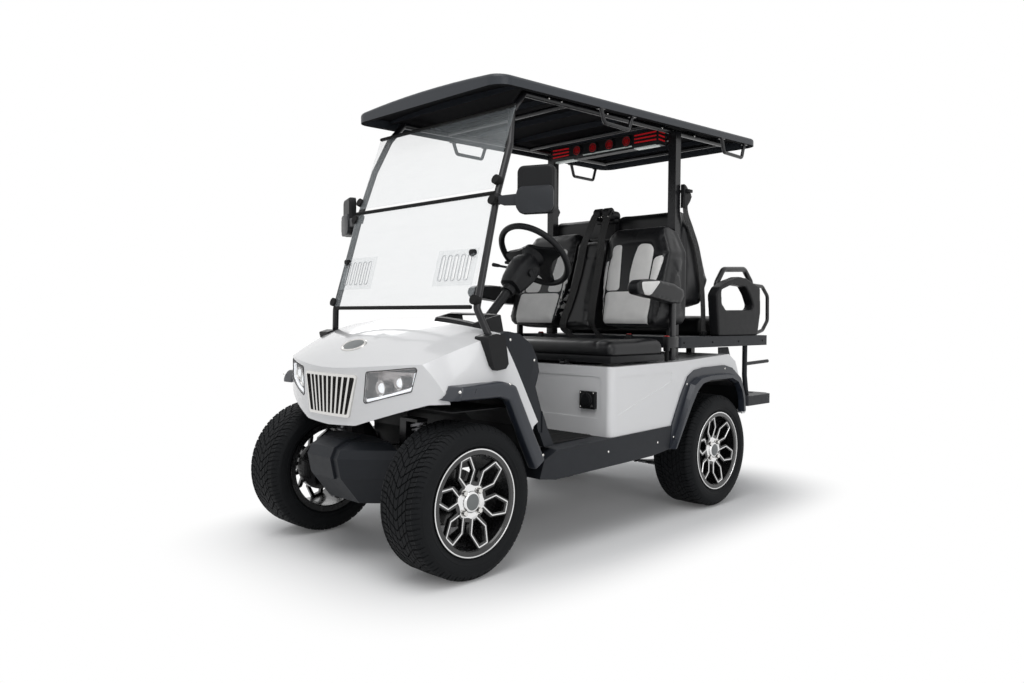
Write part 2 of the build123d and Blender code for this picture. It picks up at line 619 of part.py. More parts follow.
def dashboard():
    half = COVER_X[0]
    outer = side_prism(DASH, -half, half)
    inner = side_prism(((148, 893), (243, 885), (306, 844), (334, 792), (330, 772), (190, 797), (166, 830)),
                       -half + DASH_WALL, half - DASH_WALL)
    shell = outer - inner
    for sign in (1, -1):
        x0, x1 = sorted((sign * BIN[0], sign * BIN[1]))
        shell = shell - block(x0, x1, 280, 420, 802, 838)
        floor = block(x0 - 6, x1 + 6, 205, 322, 796, 802)
        shell = shell + (floor & outer)
    hood = side_prism(HOOD, *HOOD_X, radius=12) - side_prism(((168, 880), (204, 976), (330, 964), (400, 880)),
                                                            HOOD_X[0] + 8, HOOD_X[1] - 8)
    hood = hood - outer
    hood = biggest(hood)
    column = column_rod(COLUMN_R + 1.5)
    board = (shell + hood) - column - cowl_skin()
    for cover in post_covers():
        board = board - cover
    return biggest(board)


def floor_pan():
    toe = side_prism(band(TOE_BOARD[::-1], 6), -COVER_X[0], COVER_X[0])
    floor = block(-ROCKER_X, ROCKER_X, 452, BOX_FRONT_Y + 20, FLOOR_Z - FLOOR_T, FLOOR_Z)
    edge_ribs = []
    for x in range(-420, 421, 70):
        edge_ribs.append(block(x - 3, x + 3, 500, 760, FLOOR_Z - 1, FLOOR_Z + 3))
    return fuse(toe, floor, *edge_ribs)


SILL = ((326, 326), (352, 398), (432, 430), (785, 439.7), (1244, 450.4), (1228, 342), (1087, 326), (420, 312))
SILL_OUT = 592.0


def sills():
    outer = side_prism(SILL, ROCKER_X, SILL_OUT)
    inner = side_prism(((340, 332), (362, 393), (436, 424), (785, 434), (1237, 444), (1223, 348), (1086, 332),
                        (422, 318)), ROCKER_X - 1, SILL_OUT - 6)
    shell = outer - inner
    return both_sides(shell)


def pedals():
    parts = []
    for x0, x1, low in ((150, 205, 505), (292, 345, 500)):
        plate = side_prism(((372, low + 120), (384, low + 124), (404, low + 6), (392, low)), x0, x1)
        stem = side_prism(((340, 700), (352, 700), (384, low + 90), (374, low + 90)), (x0 + x1) / 2 - 6, (x0 + x1) / 2 + 6)
        parts.append(plate + stem)
    toe = side_prism(band(TOE_BOARD[::-1], 6), -COVER_X[0], COVER_X[0])
    return [biggest((p - toe)) for p in parts]


# ---- rear body ----------------------------------------------------------------------------
REAR_BODY = ((BOX_FRONT_Y, 440), (BOX_FRONT_Y, SEAT_BASE_Z), (840, SEAT_BASE_Z), (1330, 752), (1784, 775), (1852, 735), (1893, 655),
             (1940, 560), (1968, 452), (1300, 452))
BOX_CORNER = 30.0
RECESS = 2.5                   # depth of the pressed panels
FRONT_RECESS = ((-528, 517), (528, 517), (528, 700), (-528, 700))
SIDE_RECESS = ((836, 534), (836, 700), (1250, 703), (1250, 662), (1146, 628), (998, 585))
BATTERY_HATCH = (-420.0, 420.0, 835.0, 1220.0)
BEAM_TOP = SEAT_BASE_Z - WALL
BEAM_H = 40.0
BEAM_HALF_W = 20.0
BEAM_X = RAIL_X
SEAT_BEAM_Y = (1460.0, 2090.0)
REAR_BEAM_Y = (2040.0, 2080.0)
SEAT_LEG_Y = (1480.0, 2060.0)
TRAY_STUB_Y = (1560.0, 2040.0)
TRAY_STUB = 36.0               # posts between the beams and the rear tray
CROSS_BEAM_HALF = 24.0         # half width of the beam under the rear posts


def rear_body():
    outer = side_prism(REAR_BODY, -BODY_HALF_W, BODY_HALF_W)
    upright = outer.edges().filter_by(Axis.Z).sort_by(Axis.Y)[:2]
    outer = fillet(upright, BOX_CORNER).solid()
    inner_pts = ((BOX_FRONT_Y + WALL, 400), (BOX_FRONT_Y + WALL, BEAM_TOP), (840, BEAM_TOP), (1330, 747), (1782, 770), (1847, 732),
                 (1888, 654), (1935, 559), (1970, 400))
    inner = side_prism(inner_pts, -BODY_HALF_W + WALL, BODY_HALF_W - WALL)
    inner = fillet(inner.edges().filter_by(Axis.Z).sort_by(Axis.Y)[:2], BOX_CORNER - WALL).solid()
    shell = outer - inner - front_prism(FRONT_RECESS, BOX_FRONT_Y - 1, BOX_FRONT_Y + RECESS, 20)
    for piece in both_sides(side_prism(SIDE_RECESS, BODY_HALF_W - RECESS, BODY_HALF_W + 1)):
        shell = shell - piece
    for piece in both_sides(side_prism(ARCH_R_CUT, 300, 700)):
        shell = shell - piece
    x0, x1, y0, y1 = BATTERY_HATCH
    shell = shell - block(x0, x1, y0, y1, 700, 800)
    for piece in both_sides(post_block(0)) + seat_frame():
        shell = shell - piece
    return biggest(shell)


def post_block(grow):
    half = POST_W / 2 + grow
    return block(POST_X - half, POST_X + half, POST_Y - half, POST_Y + half, BEAM_TOP, roof_line(POST_Y) + 11)


def charge_port():
    lid = block(420, 505, BOX_FRONT_Y - 11, BOX_FRONT_Y + RECESS, 558, 633)
    socket = rod((462, BOX_FRONT_Y - 17, 597), (462, BOX_FRONT_Y - 10, 597), 27)
    return fuse(lid, socket)


def seat_frame():
    """Square tubes, welded end to face, that carry the deck, the rear posts, the seat backs and the rear tray."""
    top, low = BEAM_TOP, BEAM_TOP - BEAM_H
    front, back = POST_Y - CROSS_BEAM_HALF, POST_Y + CROSS_BEAM_HALF
    near, far = BEAM_X - BEAM_HALF_W, BEAM_X + BEAM_HALF_W
    parts = [block(-POST_X - CROSS_BEAM_HALF, POST_X + CROSS_BEAM_HALF, front, back, low, top),
             block(-near, near, *REAR_BEAM_Y, low, top)]
    for leg_y in SEAT_LEG_Y:
        parts += both_sides(block(near, far, leg_y - BEAM_HALF_W, leg_y + BEAM_HALF_W, RAIL_Z + RAIL_H / 2, low))
    for stub_y in TRAY_STUB_Y:
        parts += both_sides(block(near + 2, far - 2, stub_y, stub_y + TRAY_STUB, top, TRAY_Z[1] - WALL))
    for y0, y1 in ((SEAT_BEAM_Y[0], front), (back, SEAT_BEAM_Y[1])):
        parts += both_sides(block(near, far, y0, y1, low, top))
    return parts


def rear_posts():
    rails = both_sides(roof_rail())
    parts = []
    for post in both_sides(post_block(0)):
        for rail in rails:
            post = post - rail
        parts.append(post.solid())
    for z in CROSS_TUBE_Z:
        inner = POST_X - POST_W / 2
        parts.append(rod((-inner - 2, POST_Y, z), (inner + 2, POST_Y, z), CROSS_TUBE_R))
    return fuse(*parts)


CROSS_TUBE_Z = (1010.0, 1385.0)
CROSS_TUBE_R = 14.0


# ---- windscreen and roof ------------------------------------------------------------------
STRUT_POINTS = ((522, 132, 790), (522, 118, 880), (478, 92, 990), (458, 215, 1434), (452, 290, 1640),
                (408, 345, 1790), (400, 420, 1874))
GLASS_OFFSET = STRUT_R + GLASS_T / 2 + 0.5
LOWER_GLASS = ((92, 990), (215, 1434))
UPPER_GLASS = ((215, 1440), (341, 1795))
UPPER_HALF_W = 448.0
BAR_R = 8.0
VENT_X = (212.0, 446.0)
VENT_Z = (1078.0, 1222.0)


def roof_line(y):
    """Height of the roof rim's lower edge."""
    (y0, z0), (y1, z1) = ROOF_FRONT, ROOF_REAR
    return z0 + (z1 - z0) * (y - y0) / (y1 - y0)


def strut():
    return tube(STRUT_POINTS[:-1] + ((400, 420, roof_line(420) + 11),), STRUT_R, 34)


def pane(line, half_w, thick, offset, start=0.0, end=1.0):
    """Flat pane ahead of the posts: line is (y, z) low and high, start and end are shares of it."""
    (y0, z0), (y1, z1) = line
    size = math.hypot(y1 - y0, z1 - z0)
    ny, nz = -(z1 - z0) / size, (y1 - y0) / size
    points = []
    for share, out in ((start, offset - thick / 2), (end, offset - thick / 2),
                       (end, offset + thick / 2), (start, offset + thick / 2)):
        points.append((y0 + (y1 - y0) * share + ny * out, z0 + (z1 - z0) * share + nz * out))
    return side_prism(points, -half_w, half_w)


def pane_point(line, share, offset):
    (y0, z0), (y1, z1) = line
    size = math.hypot(y1 - y0, z1 - z0)
    return (y0 + (y1 - y0) * share - (z1 - z0) / size * offset, z0 + (z1 - z0) * share + (y1 - y0) / size * offset)


def windscreen_lower():
    glass = pane(LOWER_GLASS, GLASS_HALF_W, GLASS_T, GLASS_OFFSET, 0.0, 0.995)
    for vent in both_sides(vent_windows()):
        glass = glass - vent
    return glass


def windscreen_upper():
    return pane(UPPER_GLASS, UPPER_HALF_W, GLASS_T, GLASS_OFFSET, 0.03, 0.995)


def vent_windows():
    """Five upright slots behind the vent slider."""
    slots = []
    count = 5
    pitch = (VENT_X[1] - VENT_X[0] - 40) / count
    for i in range(count):
        x = VENT_X[0] + 20 + pitch * (i + 0.5)
        slots.append(block(x - 9, x + 9, 0, 250, VENT_Z[0] + 28, VENT_Z[1] - 28))
    return Compound(children=slots)


def windscreen_vents():
    plate = pane(LOWER_GLASS, 500, 4.0, GLASS_OFFSET + GLASS_T / 2 + 2.0)
    plate = plate & block(VENT_X[0], VENT_X[1], 0, 260, *VENT_Z)
    plate = plate - vent_windows()
    y, z = pane_point(LOWER_GLASS, 0.44, GLASS_OFFSET + GLASS_T / 2 + 4.0)
    knob = rod((VENT_X[1] - 14, y, z), (VENT_X[1] - 14, y - 14, z + 4), 9)
    return both_sides(plate + knob)


def windscreen_bars():
    """Edge bars and the rubber clips that hold the panes to the posts."""
    parts = []
    for line, share, half in ((LOWER_GLASS, 0.0, GLASS_HALF_W), (LOWER_GLASS, 0.995, GLASS_HALF_W),
                              (UPPER_GLASS, 0.995, UPPER_HALF_W)):
        y, z = pane_point(line, share, GLASS_OFFSET)
        parts.append(rod((-half, y, z), (half, y, z), BAR_R))
    bars = []
    glass = [windscreen_lower(), windscreen_upper()]
    for part in parts:
        for piece in glass:
            part = part - piece
        for post in both_sides(strut()):
            part = part - post
        bars.append(biggest(part))
    return bars


def front_clips():
    """Rubber clamps round the posts."""
    clips = []
    for line, share, x in ((LOWER_GLASS, 0.06, 477), (LOWER_GLASS, 0.93, 461), (UPPER_GLASS, 0.12, 457)):
        y, z = pane_point(line, share, 0)
        front_y, front_z = pane_point(line, share, GLASS_OFFSET + GLASS_T / 2 + 9)
        block_part = rod((x, y + 1, z), (x, front_y, front_z), 19)
        clips.append(block_part)
    result = []
    for clip in clips:
        for piece in (strut(), windscreen_lower(), windscreen_upper(), *windscreen_bars()):
            clip = clip - piece
        result += list(clip.solids())
    return [side for one in result for side in both_sides(one)]


# roof plan, level frame: half width, y from the front edge
ROOF_LENGTH = ROOF_REAR[0] - ROOF_FRONT[0]
ROOF_W_FRONT = 482.0
ROOF_W_REAR = 534.0
ROOF_CROWN = 24.0              # rise of the middle over the rim's top
ROOF_LIP = 24.0                # width of the folded rim
ROOF_CORNER = 70.0
RAIL_LIFT = 11.0               # rails' middle over the rim's lower edge


def roof_plan(inset, low, high):
    points = [(-ROOF_W_FRONT + inset, inset), (ROOF_W_FRONT - inset, inset),
              (ROOF_W_REAR - inset, ROOF_LENGTH - inset), (-ROOF_W_REAR + inset, ROOF_LENGTH - inset)]
    return plan_prism(points, low, high, radius=ROOF_CORNER - min(inset, 30))


def roof_arch(drop):
    """Cross section under the crown, lowered by drop, the whole length of the roof."""
    half = ROOF_W_REAR + 20
    a, b = Vector(-half, -50, -20), Vector(half, -50, -20)
    c, d = Vector(half, -50, ROOF_RIM - drop), Vector(-half, -50, ROOF_RIM - drop)
    top = Vector(0, -50, ROOF_RIM + ROOF_CROWN - drop)
    wire = Wire([Edge.make_line(a, b), Edge.make_line(b, c), Edge.make_three_point_arc(c, top, d), Edge.make_line(d, a)])
    return Solid.extrude(make_face(wire).face(), Vector(0, ROOF_LENGTH + 100, 0))


def place_roof(shape):
    (y0, z0), (y1, z1) = ROOF_FRONT, ROOF_REAR
    slope = math.degrees(math.atan2(z1 - z0, y1 - y0))
    return shape.rotate(Axis.X, slope).moved(Location((0, y0, z0)))


def roof():
    outer = roof_plan(0, 0, 120) & roof_arch(0)
    rim_edges = outer.faces().sort_by(Axis.Z)[-1].edges()
    outer = fillet(rim_edges, 14).solid()
    inner = roof_plan(ROOF_LIP, -10, 120) & roof_arch(ROOF_WALL)
    shell = outer - inner
    plateau = roof_plan(105, 20, 160) & (roof_arch(-5) - roof_arch(1))
    shell = shell + plateau
    under = RAIL_LIFT + STRUT_R
    for i in range(7):
        y = 190 + i * (ROOF_LENGTH - 380) / 6
        rib = block(-ROOF_W_FRONT + ROOF_LIP - 4, ROOF_W_FRONT - ROOF_LIP + 4, y - 7, y + 7, under, 100)
        shell = shell + (rib & roof_arch(ROOF_WALL - 1) & roof_plan(ROOF_LIP - 2, -10, 120))
    return place_roof(shell)


def roof_rail():
    y0, y1 = 420, 1990
    return rod((400, y0, roof_line(y0) + RAIL_LIFT), (400, y1, roof_line(y1) + RAIL_LIFT), STRUT_R)


HANDLES = ((815, 1046, 1808), (1800, 2040, 1826))   # y from, y to, lowest z


def roof_frame():
    rails = both_sides(roof_rail())
    cross = []
    for y in (700, 1300, 1985):
        cross.append(rod((-400, y, roof_line(y) + RAIL_LIFT), (400, y, roof_line(y) + RAIL_LIFT), 11))
    frame = fuse(*rails, *cross)
    for post in both_sides(strut()):
        frame = frame - post
    return frame


def roof_handles():
    parts = []
    for y0, y1, low in HANDLES:
        half = ROOF_W_FRONT + (ROOF_W_REAR - ROOF_W_FRONT) * ((y0 + y1) / 2 - ROOF_FRONT[0]) / ROOF_LENGTH
        x = half - ROOF_LIP / 2
        top0, top1 = roof_line(y0) + 0.5, roof_line(y1) + 0.5
        grip = tube(((x, y0, top0), (x, y0 + 26, low + 9), (x, y1 - 26, low + 9), (x, y1, top1)), 9, 16)
        for y, z in ((y0, top0), (y1, top1)):
            grip = grip + block(x - 11, x + 11, y - 18, y + 18, z - 6, z + 20)
        cut = place_roof(roof_plan(-60, 0, 200))
        parts += both_sides((grip - cut).solid())
    return parts


SOUND_BAR = (362.0, 1445.0, 1522.0, 1842.0, 1914.0)  # half length, y, y, z, z


def sound_bar():
    half, y0, y1, z0, z1 = SOUND_BAR
    profile = [(y0, z0 + 16), (y0, z1), (y1, z1), (y1, z0 + 16), (y1 - 14, z0), (y0 + 14, z0)]
    bar = side_prism(profile, -half, half)
    pods = []
    for i in range(4):
        x = -168 + 112 * i
        pods.append(rod((x, y0 - 8, (z0 + z1) / 2 + 4), (x, y0 + 4, (z0 + z1) / 2 + 4), 29))
    ears = [block(half - 2, POST_X - POST_W / 2, POST_Y - 12, POST_Y + 12, z0 + 24, z0 + 34)]
    return fuse(bar, *pods, *both_sides(ears[0]))


# ---- seats --------------------------------------------------------------------------------
BACK_PROFILE = ((1245, 935), (1262, 915), (1400, 905), (POST_Y - POST_W / 2, 930), (POST_Y - POST_W / 2, 1395),
                (1432, 1428), (1400, 1420), (1378, 1380))
BACK_X = (104.0, 505.0)
CONSOLE_PROFILE = ((1222, 915), (1240, 900), (POST_Y - CROSS_TUBE_R, 900), (POST_Y - CROSS_TUBE_R, 1350),
                   (1385, 1372), (1362, 1350))
CONSOLE_HALF = 92.0
REAR_BACK = ((POST_Y + POST_W / 2, 1020), (POST_Y + POST_W / 2, 1490), (1578, 1522), (1622, 1508), (1750, 1350),
             (1830, 1160), (1792, 1080), (1752, 1030), (1560, 1010))
REAR_BACK_INNER = 20.0         # each rear pad's side next to the belt tower
REAR_BACK_HALF = 432.0
FRONT_CUSHION = (572.0, 803.0, 1236.0, SEAT_BASE_Z + 10.0, 856.0)
LID_AXIS = (BOX_FRONT_Y + 9, SEAT_BASE_Z + 7)      # y, z of the front cushion's hinge
LID_PIN_R = 3.5
REAR_CUSHION = (428.0, 1778.0, 2262.0, TRAY_Z[1] + SEAT_GAP, 975.0)
FLIP_AXIS = (2320.0, 873.0)                        # y, z of the rear cushion's hinge
FLIP_PIN_R = 5.0


def seat_back(sign):
    body = side_prism(BACK_PROFILE, *BACK_X)
    x0, x1 = BACK_X
    clip_pts = [(x0, 1200), (x0 + 54, 948), (x0 + 78, 903), (x1 - 34, 903), (x1, 960), (x1, 1290), (x1 - 70, 1430),
                (x0 + 38, 1432), (x0, 1386)]
    body = body & front_prism(clip_pts, 1200, 1500, 26)
    return body if sign > 0 else body.mirror(Plane.YZ)


def console_back():
    return side_prism(CONSOLE_PROFILE, -CONSOLE_HALF, CONSOLE_HALF, 12) - Compound(children=[
        rod((-300, POST_Y, z), (300, POST_Y, z), CROSS_TUBE_R) for z in CROSS_TUBE_Z])


def belt_tower():
    base = CROSS_TUBE_Z[1]
    column = block(-52, 52, POST_Y - 13, POST_Y + 20, base, 1500)
    heads = [rod((x, POST_Y - 44, 1510), (x, POST_Y + 20, 1510), 29) for x in (-31, 31)]
    tower = fuse(column, *heads) - rod((-300, POST_Y, base), (300, POST_Y, base), CROSS_TUBE_R)
    tower = tower - console_back()
    return biggest(tower)


ARMREST = ((1020, 1108), (1042, 1134), (1120, 1138), (1320, 1116), (1385, 1085), (1392, 1050), (1365, 1026),
           (1300, 1026), (1240, 1042), (1090, 1053), (1035, 1072))
STAY_Y = (1338.0, 1376.0)      # upright under each front armrest


def armrests():
    arm = side_prism(ARMREST, BACK_X[1], BACK_X[1] + 72, 10)
    stay = block(BACK_X[1] + 3, BACK_X[1] + 21, *STAY_Y, SEAT_BASE_Z, 1045) - side_prism(REAR_BODY, -BODY_HALF_W, BODY_HALF_W)
    return both_sides((arm + stay).solid())


def rear_seat_back():
    pad = side_prism(REAR_BACK, REAR_BACK_INNER, REAR_BACK_HALF, 16)
    face = front_prism([(REAR_BACK_INNER, 1000), (REAR_BACK_HALF, 1000), (REAR_BACK_HALF, 1525), (REAR_BACK_INNER, 1525)],
                       1500, 1900, 55)
    return both_sides((pad & face).solid())


def front_cushion():
    half, y0, y1, z0, z1 = FRONT_CUSHION
    pad = block(-half, half, y0, y1, z0, z1)
    pad = fillet(pad.edges().filter_by(Axis.Z), 46).solid()
    pad = fillet(pad.faces().sort_by(Axis.Z)[-1].edges(), 26).solid()
    y, z = LID_AXIS
    parts = [pad]
    for x in (-300, 300):
        parts[0] = parts[0] - rod((x - 13, y, z), (x + 13, y, z), 9)
        for edge in (-1, 1):
            ear_x = x + edge * 17
            parts.append(block(ear_x - 4, ear_x + 4, y - 1, y0 + 12, z - 3.5, z0 + 12))
        parts.append(rod((x - 20, y, z), (x + 20, y, z), LID_PIN_R))
    return fuse(*parts)


def seat_hinges():
    y, z = LID_AXIS
    lugs = []
    for x in (-300, 300):
        lug = rod((x - 12, y, z), (x + 12, y, z), 6.8) + block(x - 12, x + 12, y - 6.8, y + 6.8, SEAT_BASE_Z, z)
        lugs.append((lug - rod((x - 14, y, z), (x + 14, y, z), LID_PIN_R + RUNNING_GAP)).solid())
    return lugs


def rear_cushion():
    half, y0, y1, z0, z1 = REAR_CUSHION
    pad = block(-half, half, y0, y1, z0, z1)
    pad = fillet(pad.edges().filter_by(Axis.Z), 40).solid()
    pad = fillet(pad.faces().sort_by(Axis.Z)[-1].edges(), 24).solid()
    y, z = FLIP_AXIS
    parts = [pad]
    for x in (-330, 330):
        parts.append(side_prism(((y1 - 20, z0 + 2), (y1 - 20, z0 + 16), (y - 2, z + 7), (y + 5, z + 4), (y + 5, z - 4),
                                 (y - 2, z0 + 2)), x - 14, x + 14))
        parts.append(rod((x - 30, y, z), (x + 30, y, z), FLIP_PIN_R))
    return fuse(*parts)


# ---- rear deck, step, guards --------------------------------------------------------------
TRAY_CORNER = 60.0
SUPPORT_X = 470.0
SUPPORT = ((2168, TRAY_Z[1] - WALL), (2168, 640), (2192, 524))
PEG_Z = 706.0
HOOP_X = 450.0
HOOP_R = 15.0
GUARD_R = 10.5
HOOP = ((1880, 866), (1880, 1150), (1950, 1228), (2180, 1240), (2262, 1170), (2262, 866))
GUARD = ((2262, 1155), (2400, 1150), (2468, 1095), (2472, 950), (2412, 893), (2290, 868))
ARM_X = (478.0, 536.0)
ARM_PANEL = ((1738, 1085), (1775, 1125), (1860, 1160), (1975, 1187), (2060, 1182), (2130, 1160), (2212, 1138),
             (2222, 1000), (2190, TRAY_Z[1]), (1768, TRAY_Z[1]))
ARM_WINDOW = ((1790, 1110), (1905, 1142), (2050, 1135), (2100, 1090), (2141, 1030), (2110, 1008), (1840, 1004),
              (1795, 1040))
TAIL_LAMP = (496.0, 600.0)


def tray():
    y0, y1 = TRAY_Y
    half = TRAY_HALF_W
    points = [(-half, y0), (half, y0), (half, y1 - 20), (half - 40, y1), (-half + 40, y1), (-half, y1 - 20)]
    outer = plan_prism(points, *TRAY_Z, radius=14)
    inset = [(-half + WALL, y0 + WALL), (half - WALL, y0 + WALL), (half - WALL, y1 - 24), (half - 44, y1 - WALL),
             (-half + 44, y1 - WALL), (-half + WALL, y1 - 24)]
    shell = outer - plan_prism(inset, TRAY_Z[0] - 5, TRAY_Z[1] - WALL, radius=10)
    for piece in both_sides(post_block(0)):
        shell = shell - piece
    y, z = FLIP_AXIS
    for x in (-330, 330):
        for edge in (-1, 1):
            near = x + edge * 21
            lug = block(near - 5, near + 5, y1 - 8, y, z - 24, z + 9) + rod((near - 5, y, z), (near + 5, y, z), 9)
            shell = shell + lug
        shell = shell - rod((x - 40, y, z), (x + 40, y, z), FLIP_PIN_R + RUNNING_GAP)
        shell = shell - block(x - 15.5, x + 15.5, y1 - 12, y + 20, z - 12, z + 20)
    for piece in both_sides(support_tube()):
        shell = shell - piece
    for piece in both_sides(Compound(children=[hoop(), guard()])):
        shell = shell - piece
    return shell


def support_tube():
    return tube([(SUPPORT_X, y, z) for y, z in SUPPORT], 14, 60)


def hoop():
    return tube([(HOOP_X, y, z) for y, z in HOOP], HOOP_R, 44)


def guard():
    return tube([(HOOP_X, y, z) for y, z in GUARD], GUARD_R, 34)


def grab_guards():
    return both_sides((hoop() + guard()).solid())


def rear_armrests():
    panel = side_prism(ARM_PANEL, *ARM_X) - side_prism(ARM_WINDOW, ARM_X[0] - 1, ARM_X[1] + 1, 16)
    return both_sides(panel)


TREAD_HALF = 425.0             # raised tread of the rear step
TREAD_RISE = 3.0


def rear_step():
    y0, y1 = STEP_Y
    half = 520.0
    board = plan_prism([(-half, y0), (half, y0), (half, y1 - 60), (half - 50, y1 - 20), (-half + 50, y1 - 20),
                        (-half, y1 - 60)], *STEP_Z, radius=16)
    hollow = block(-half + 8, half - 8, y0 + 8, y1 - 68, STEP_Z[0] - 1, STEP_Z[1] - 6)
    tread = plan_prism([(-TREAD_HALF, y0 + 40), (TREAD_HALF, y0 + 40), (TREAD_HALF, y1 - 70), (-TREAD_HALF, y1 - 70)],
                       STEP_Z[1] - 1, STEP_Z[1] + TREAD_RISE, radius=16)
    board = (board - hollow) + tread
    parts = []
    for tube_part in both_sides(support_tube()):
        board = board - tube_part
        parts.append(tube_part)
    plate = side_prism(((1990, 800), (2090, 800), (2160, 640), (2150, STEP_Z[1]), (2092, STEP_Z[1]), (2000, 650)),
                       402, 410)
    peg = rod((SUPPORT_X, SUPPORT[0][0], PEG_Z - 2), (SUPPORT_X, STEP_Y[1], PEG_Z + 6), 10)
    return [fuse(board, *parts, *both_sides(peg))] + both_sides(plate)


def tail_lamps():
    x, z = TAIL_LAMP
    lamp = rod((x, 1900, z), (x, 1962, z), 34) - side_prism(REAR_BODY, -BODY_HALF_W, BODY_HALF_W)
    lamp = biggest(lamp)
    return both_sides(lamp)


# ---- mirrors, steering wheel, battery ------------------------------------------------------
MIRROR_C = (622.0, 262.0, 1440.0)
MIRROR_SIZE = (150.0, 34.0, 182.0)
MIRROR_TURN = 22.0
COLUMN_TOP = (250.0, 650.0, 1235.0)
COLUMN_ANGLE = 45.0
COLUMN_R = 20.0
WHEEL_R = 168.0
WHEEL_GRIP_R = 14.0
WHEEL_HUB_DROP = 32.0          # from the grip's plane down to the hub's lower face


def mirrors():
    sx, sy, sz = MIRROR_SIZE
    head = Solid.make_box(sx, sy, sz).moved(Location((-sx / 2, -sy / 2, -sz / 2)))
    head = fillet(head.edges().filter_by(Axis.Y), 26).solid()
    head = fillet(head.faces().sort_by(Axis.Y)[0].edges(), 12).solid()
    head = head.rotate(Axis.Z, MIRROR_TURN).moved(Location(MIRROR_C))
    arm = tube(((462, 214, 1412), (505, 240, 1410), (MIRROR_C[0] - 20, MIRROR_C[1], MIRROR_C[2] - 30)), 9, 20)
    clamp = rod((459.5, 205, 1398), (458.5, 214, 1430), STRUT_R + 6)
    part = fuse(head, arm, clamp) - strut()
    for piece in (windscreen_lower(), windscreen_upper(), *windscreen_bars(), *front_clips()):
        part = part - piece
    return both_sides(biggest(part))


def column_point(along):
    """Point on the steering column, along millimetres above the wheel's middle."""
    x, y, z = COLUMN_TOP
    tilt = math.radians(COLUMN_ANGLE)
    return (x, y + along * math.cos(tilt), z + along * math.sin(tilt))


def column_rod(radius):
    return rod(column_point(-640), column_point(-WHEEL_HUB_DROP - SEAT_GAP), radius)


def steering_column():
    shaft = column_rod(COLUMN_R)
    shroud = rod(column_point(-190), column_point(-34), 42)
    collar = rod(column_point(-240), column_point(-180), 30)
    stalk = rod(column_point(-70), (column_point(-70)[0] - 120, column_point(-70)[1] - 10, column_point(-70)[2] + 20), 7)
    return fuse(shaft, shroud, collar, stalk)


def steering_wheel():
    plane = Plane(origin=COLUMN_TOP, x_dir=(1, 0, 0), z_dir=Vector(*column_point(1)) - Vector(*COLUMN_TOP))
    seam_turned = Plane(origin=COLUMN_TOP, x_dir=plane.x_dir + plane.y_dir * 0.6, z_dir=plane.z_dir)
    grip = Solid.make_torus(WHEEL_R, WHEEL_GRIP_R, seam_turned)
    hub = Solid.make_cylinder(44, 40, Plane(origin=column_point(-WHEEL_HUB_DROP), x_dir=seam_turned.x_dir, z_dir=plane.z_dir))
    wheel = grip + hub
    for turn in (0, 180, 270):
        reach = plane.x_dir.rotate(Axis((0, 0, 0), plane.z_dir), turn)
        start = Vector(*column_point(-10)) + reach * 30
        end = Vector(*COLUMN_TOP) + reach * (WHEEL_R - 4)
        wheel = wheel + rod(tuple(start), tuple(end), 10)
    return wheel


BATTERY = (250.0, 850.0, 1200.0, 690.0)            # half width, y and top


def battery():
    half, y0, y1, top = BATTERY
    return block(-half, half, y0, y1, RAIL_Z + RAIL_H / 2, top)


# ---- write every piece --------------------------------------------------------------------
def main():
    os.makedirs("parts", exist_ok=True)
    emit("chassis", chassis())
    emit("leaf_springs", leaf_springs())
    emit("rear_axle", rear_axle())
    emit("front_suspension", front_suspension())
    emit("battery", battery())
    emit("floor_pan", floor_pan())
    emit("sills", sills())
    emit("pedals", pedals())
    emit("front_cowl", front_cowl())
    emit("grille", grille())
    emit("grille_back", grille_back())
    emit("headlamp_lenses", headlamp_lenses())
    emit("headlamp_bowls", headlamp_bowls())
    emit("front_bumper", front_bumper())
    emit("front_flares", front_flares())
    emit("rear_flares", rear_flares())
    emit("arch_liners", arch_liners())
    emit("side_covers", side_covers())
    emit("post_covers", post_covers())
    emit("dashboard", dashboard())
    emit("steering_column", steering_column())
    emit("windscreen_posts", both_sides(strut()))
    emit("windscreen_lower", windscreen_lower())
    emit("windscreen_upper", windscreen_upper())
    emit("windscreen_fittings", windscreen_bars() + front_clips())
    emit("windscreen_vents", windscreen_vents())
    emit("mirrors", mirrors())
    emit("roof", roof())
    emit("roof_frame", [roof_frame(), roof_handles()])
    emit("sound_bar", sound_bar())
    emit("rear_body", rear_body())
    emit("charge_port", charge_port())
    emit("seat_frame", [seat_frame(), seat_hinges()])
    emit("rear_posts", rear_posts())
    emit("seat_back_left", seat_back(1))
    emit("seat_back_right", seat_back(-1))
    emit("console_back", console_back())
    emit("belt_tower", belt_tower())
    emit("front_armrests", armrests())
    emit("rear_seat_back", rear_seat_back())
    emit("rear_tray", tray())
    emit("rear_armrests", rear_armrests())
    emit("grab_guards", grab_guards())
    emit("rear_step", rear_step())
    emit("tail_lamps", tail_lamps())
    emit("front_cushion", front_cushion())
    emit("rear_cushion", rear_cushion())
    emit("steering_wheel", steering_wheel())
    emit("tie_rod", tie_rod())
    for name, side in (("left", 1), ("right", -1)):
        emit(f"knuckle_{name}", knuckle(side))
        for axle, x, y in (("front", FRONT_WHEEL_X, 0), ("rear", REAR_WHEEL_X, REAR_Y)):
            emit(f"tyre_{axle}_{name}", tyre((side * x, y, TYRE_R)))
            emit(f"rim_{axle}_{name}", rim((side * x, y, TYRE_R), side))


if __name__ == "__main__":
    main()
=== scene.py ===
"""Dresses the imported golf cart: stage, camera, finishes, tyres, upholstery and small fittings.

Laid out as an add-on and run as a script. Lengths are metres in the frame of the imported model:
+X is the cart's left side, +Y its rear, +Z up, with the ground at z = 0.
"""

import json
import math

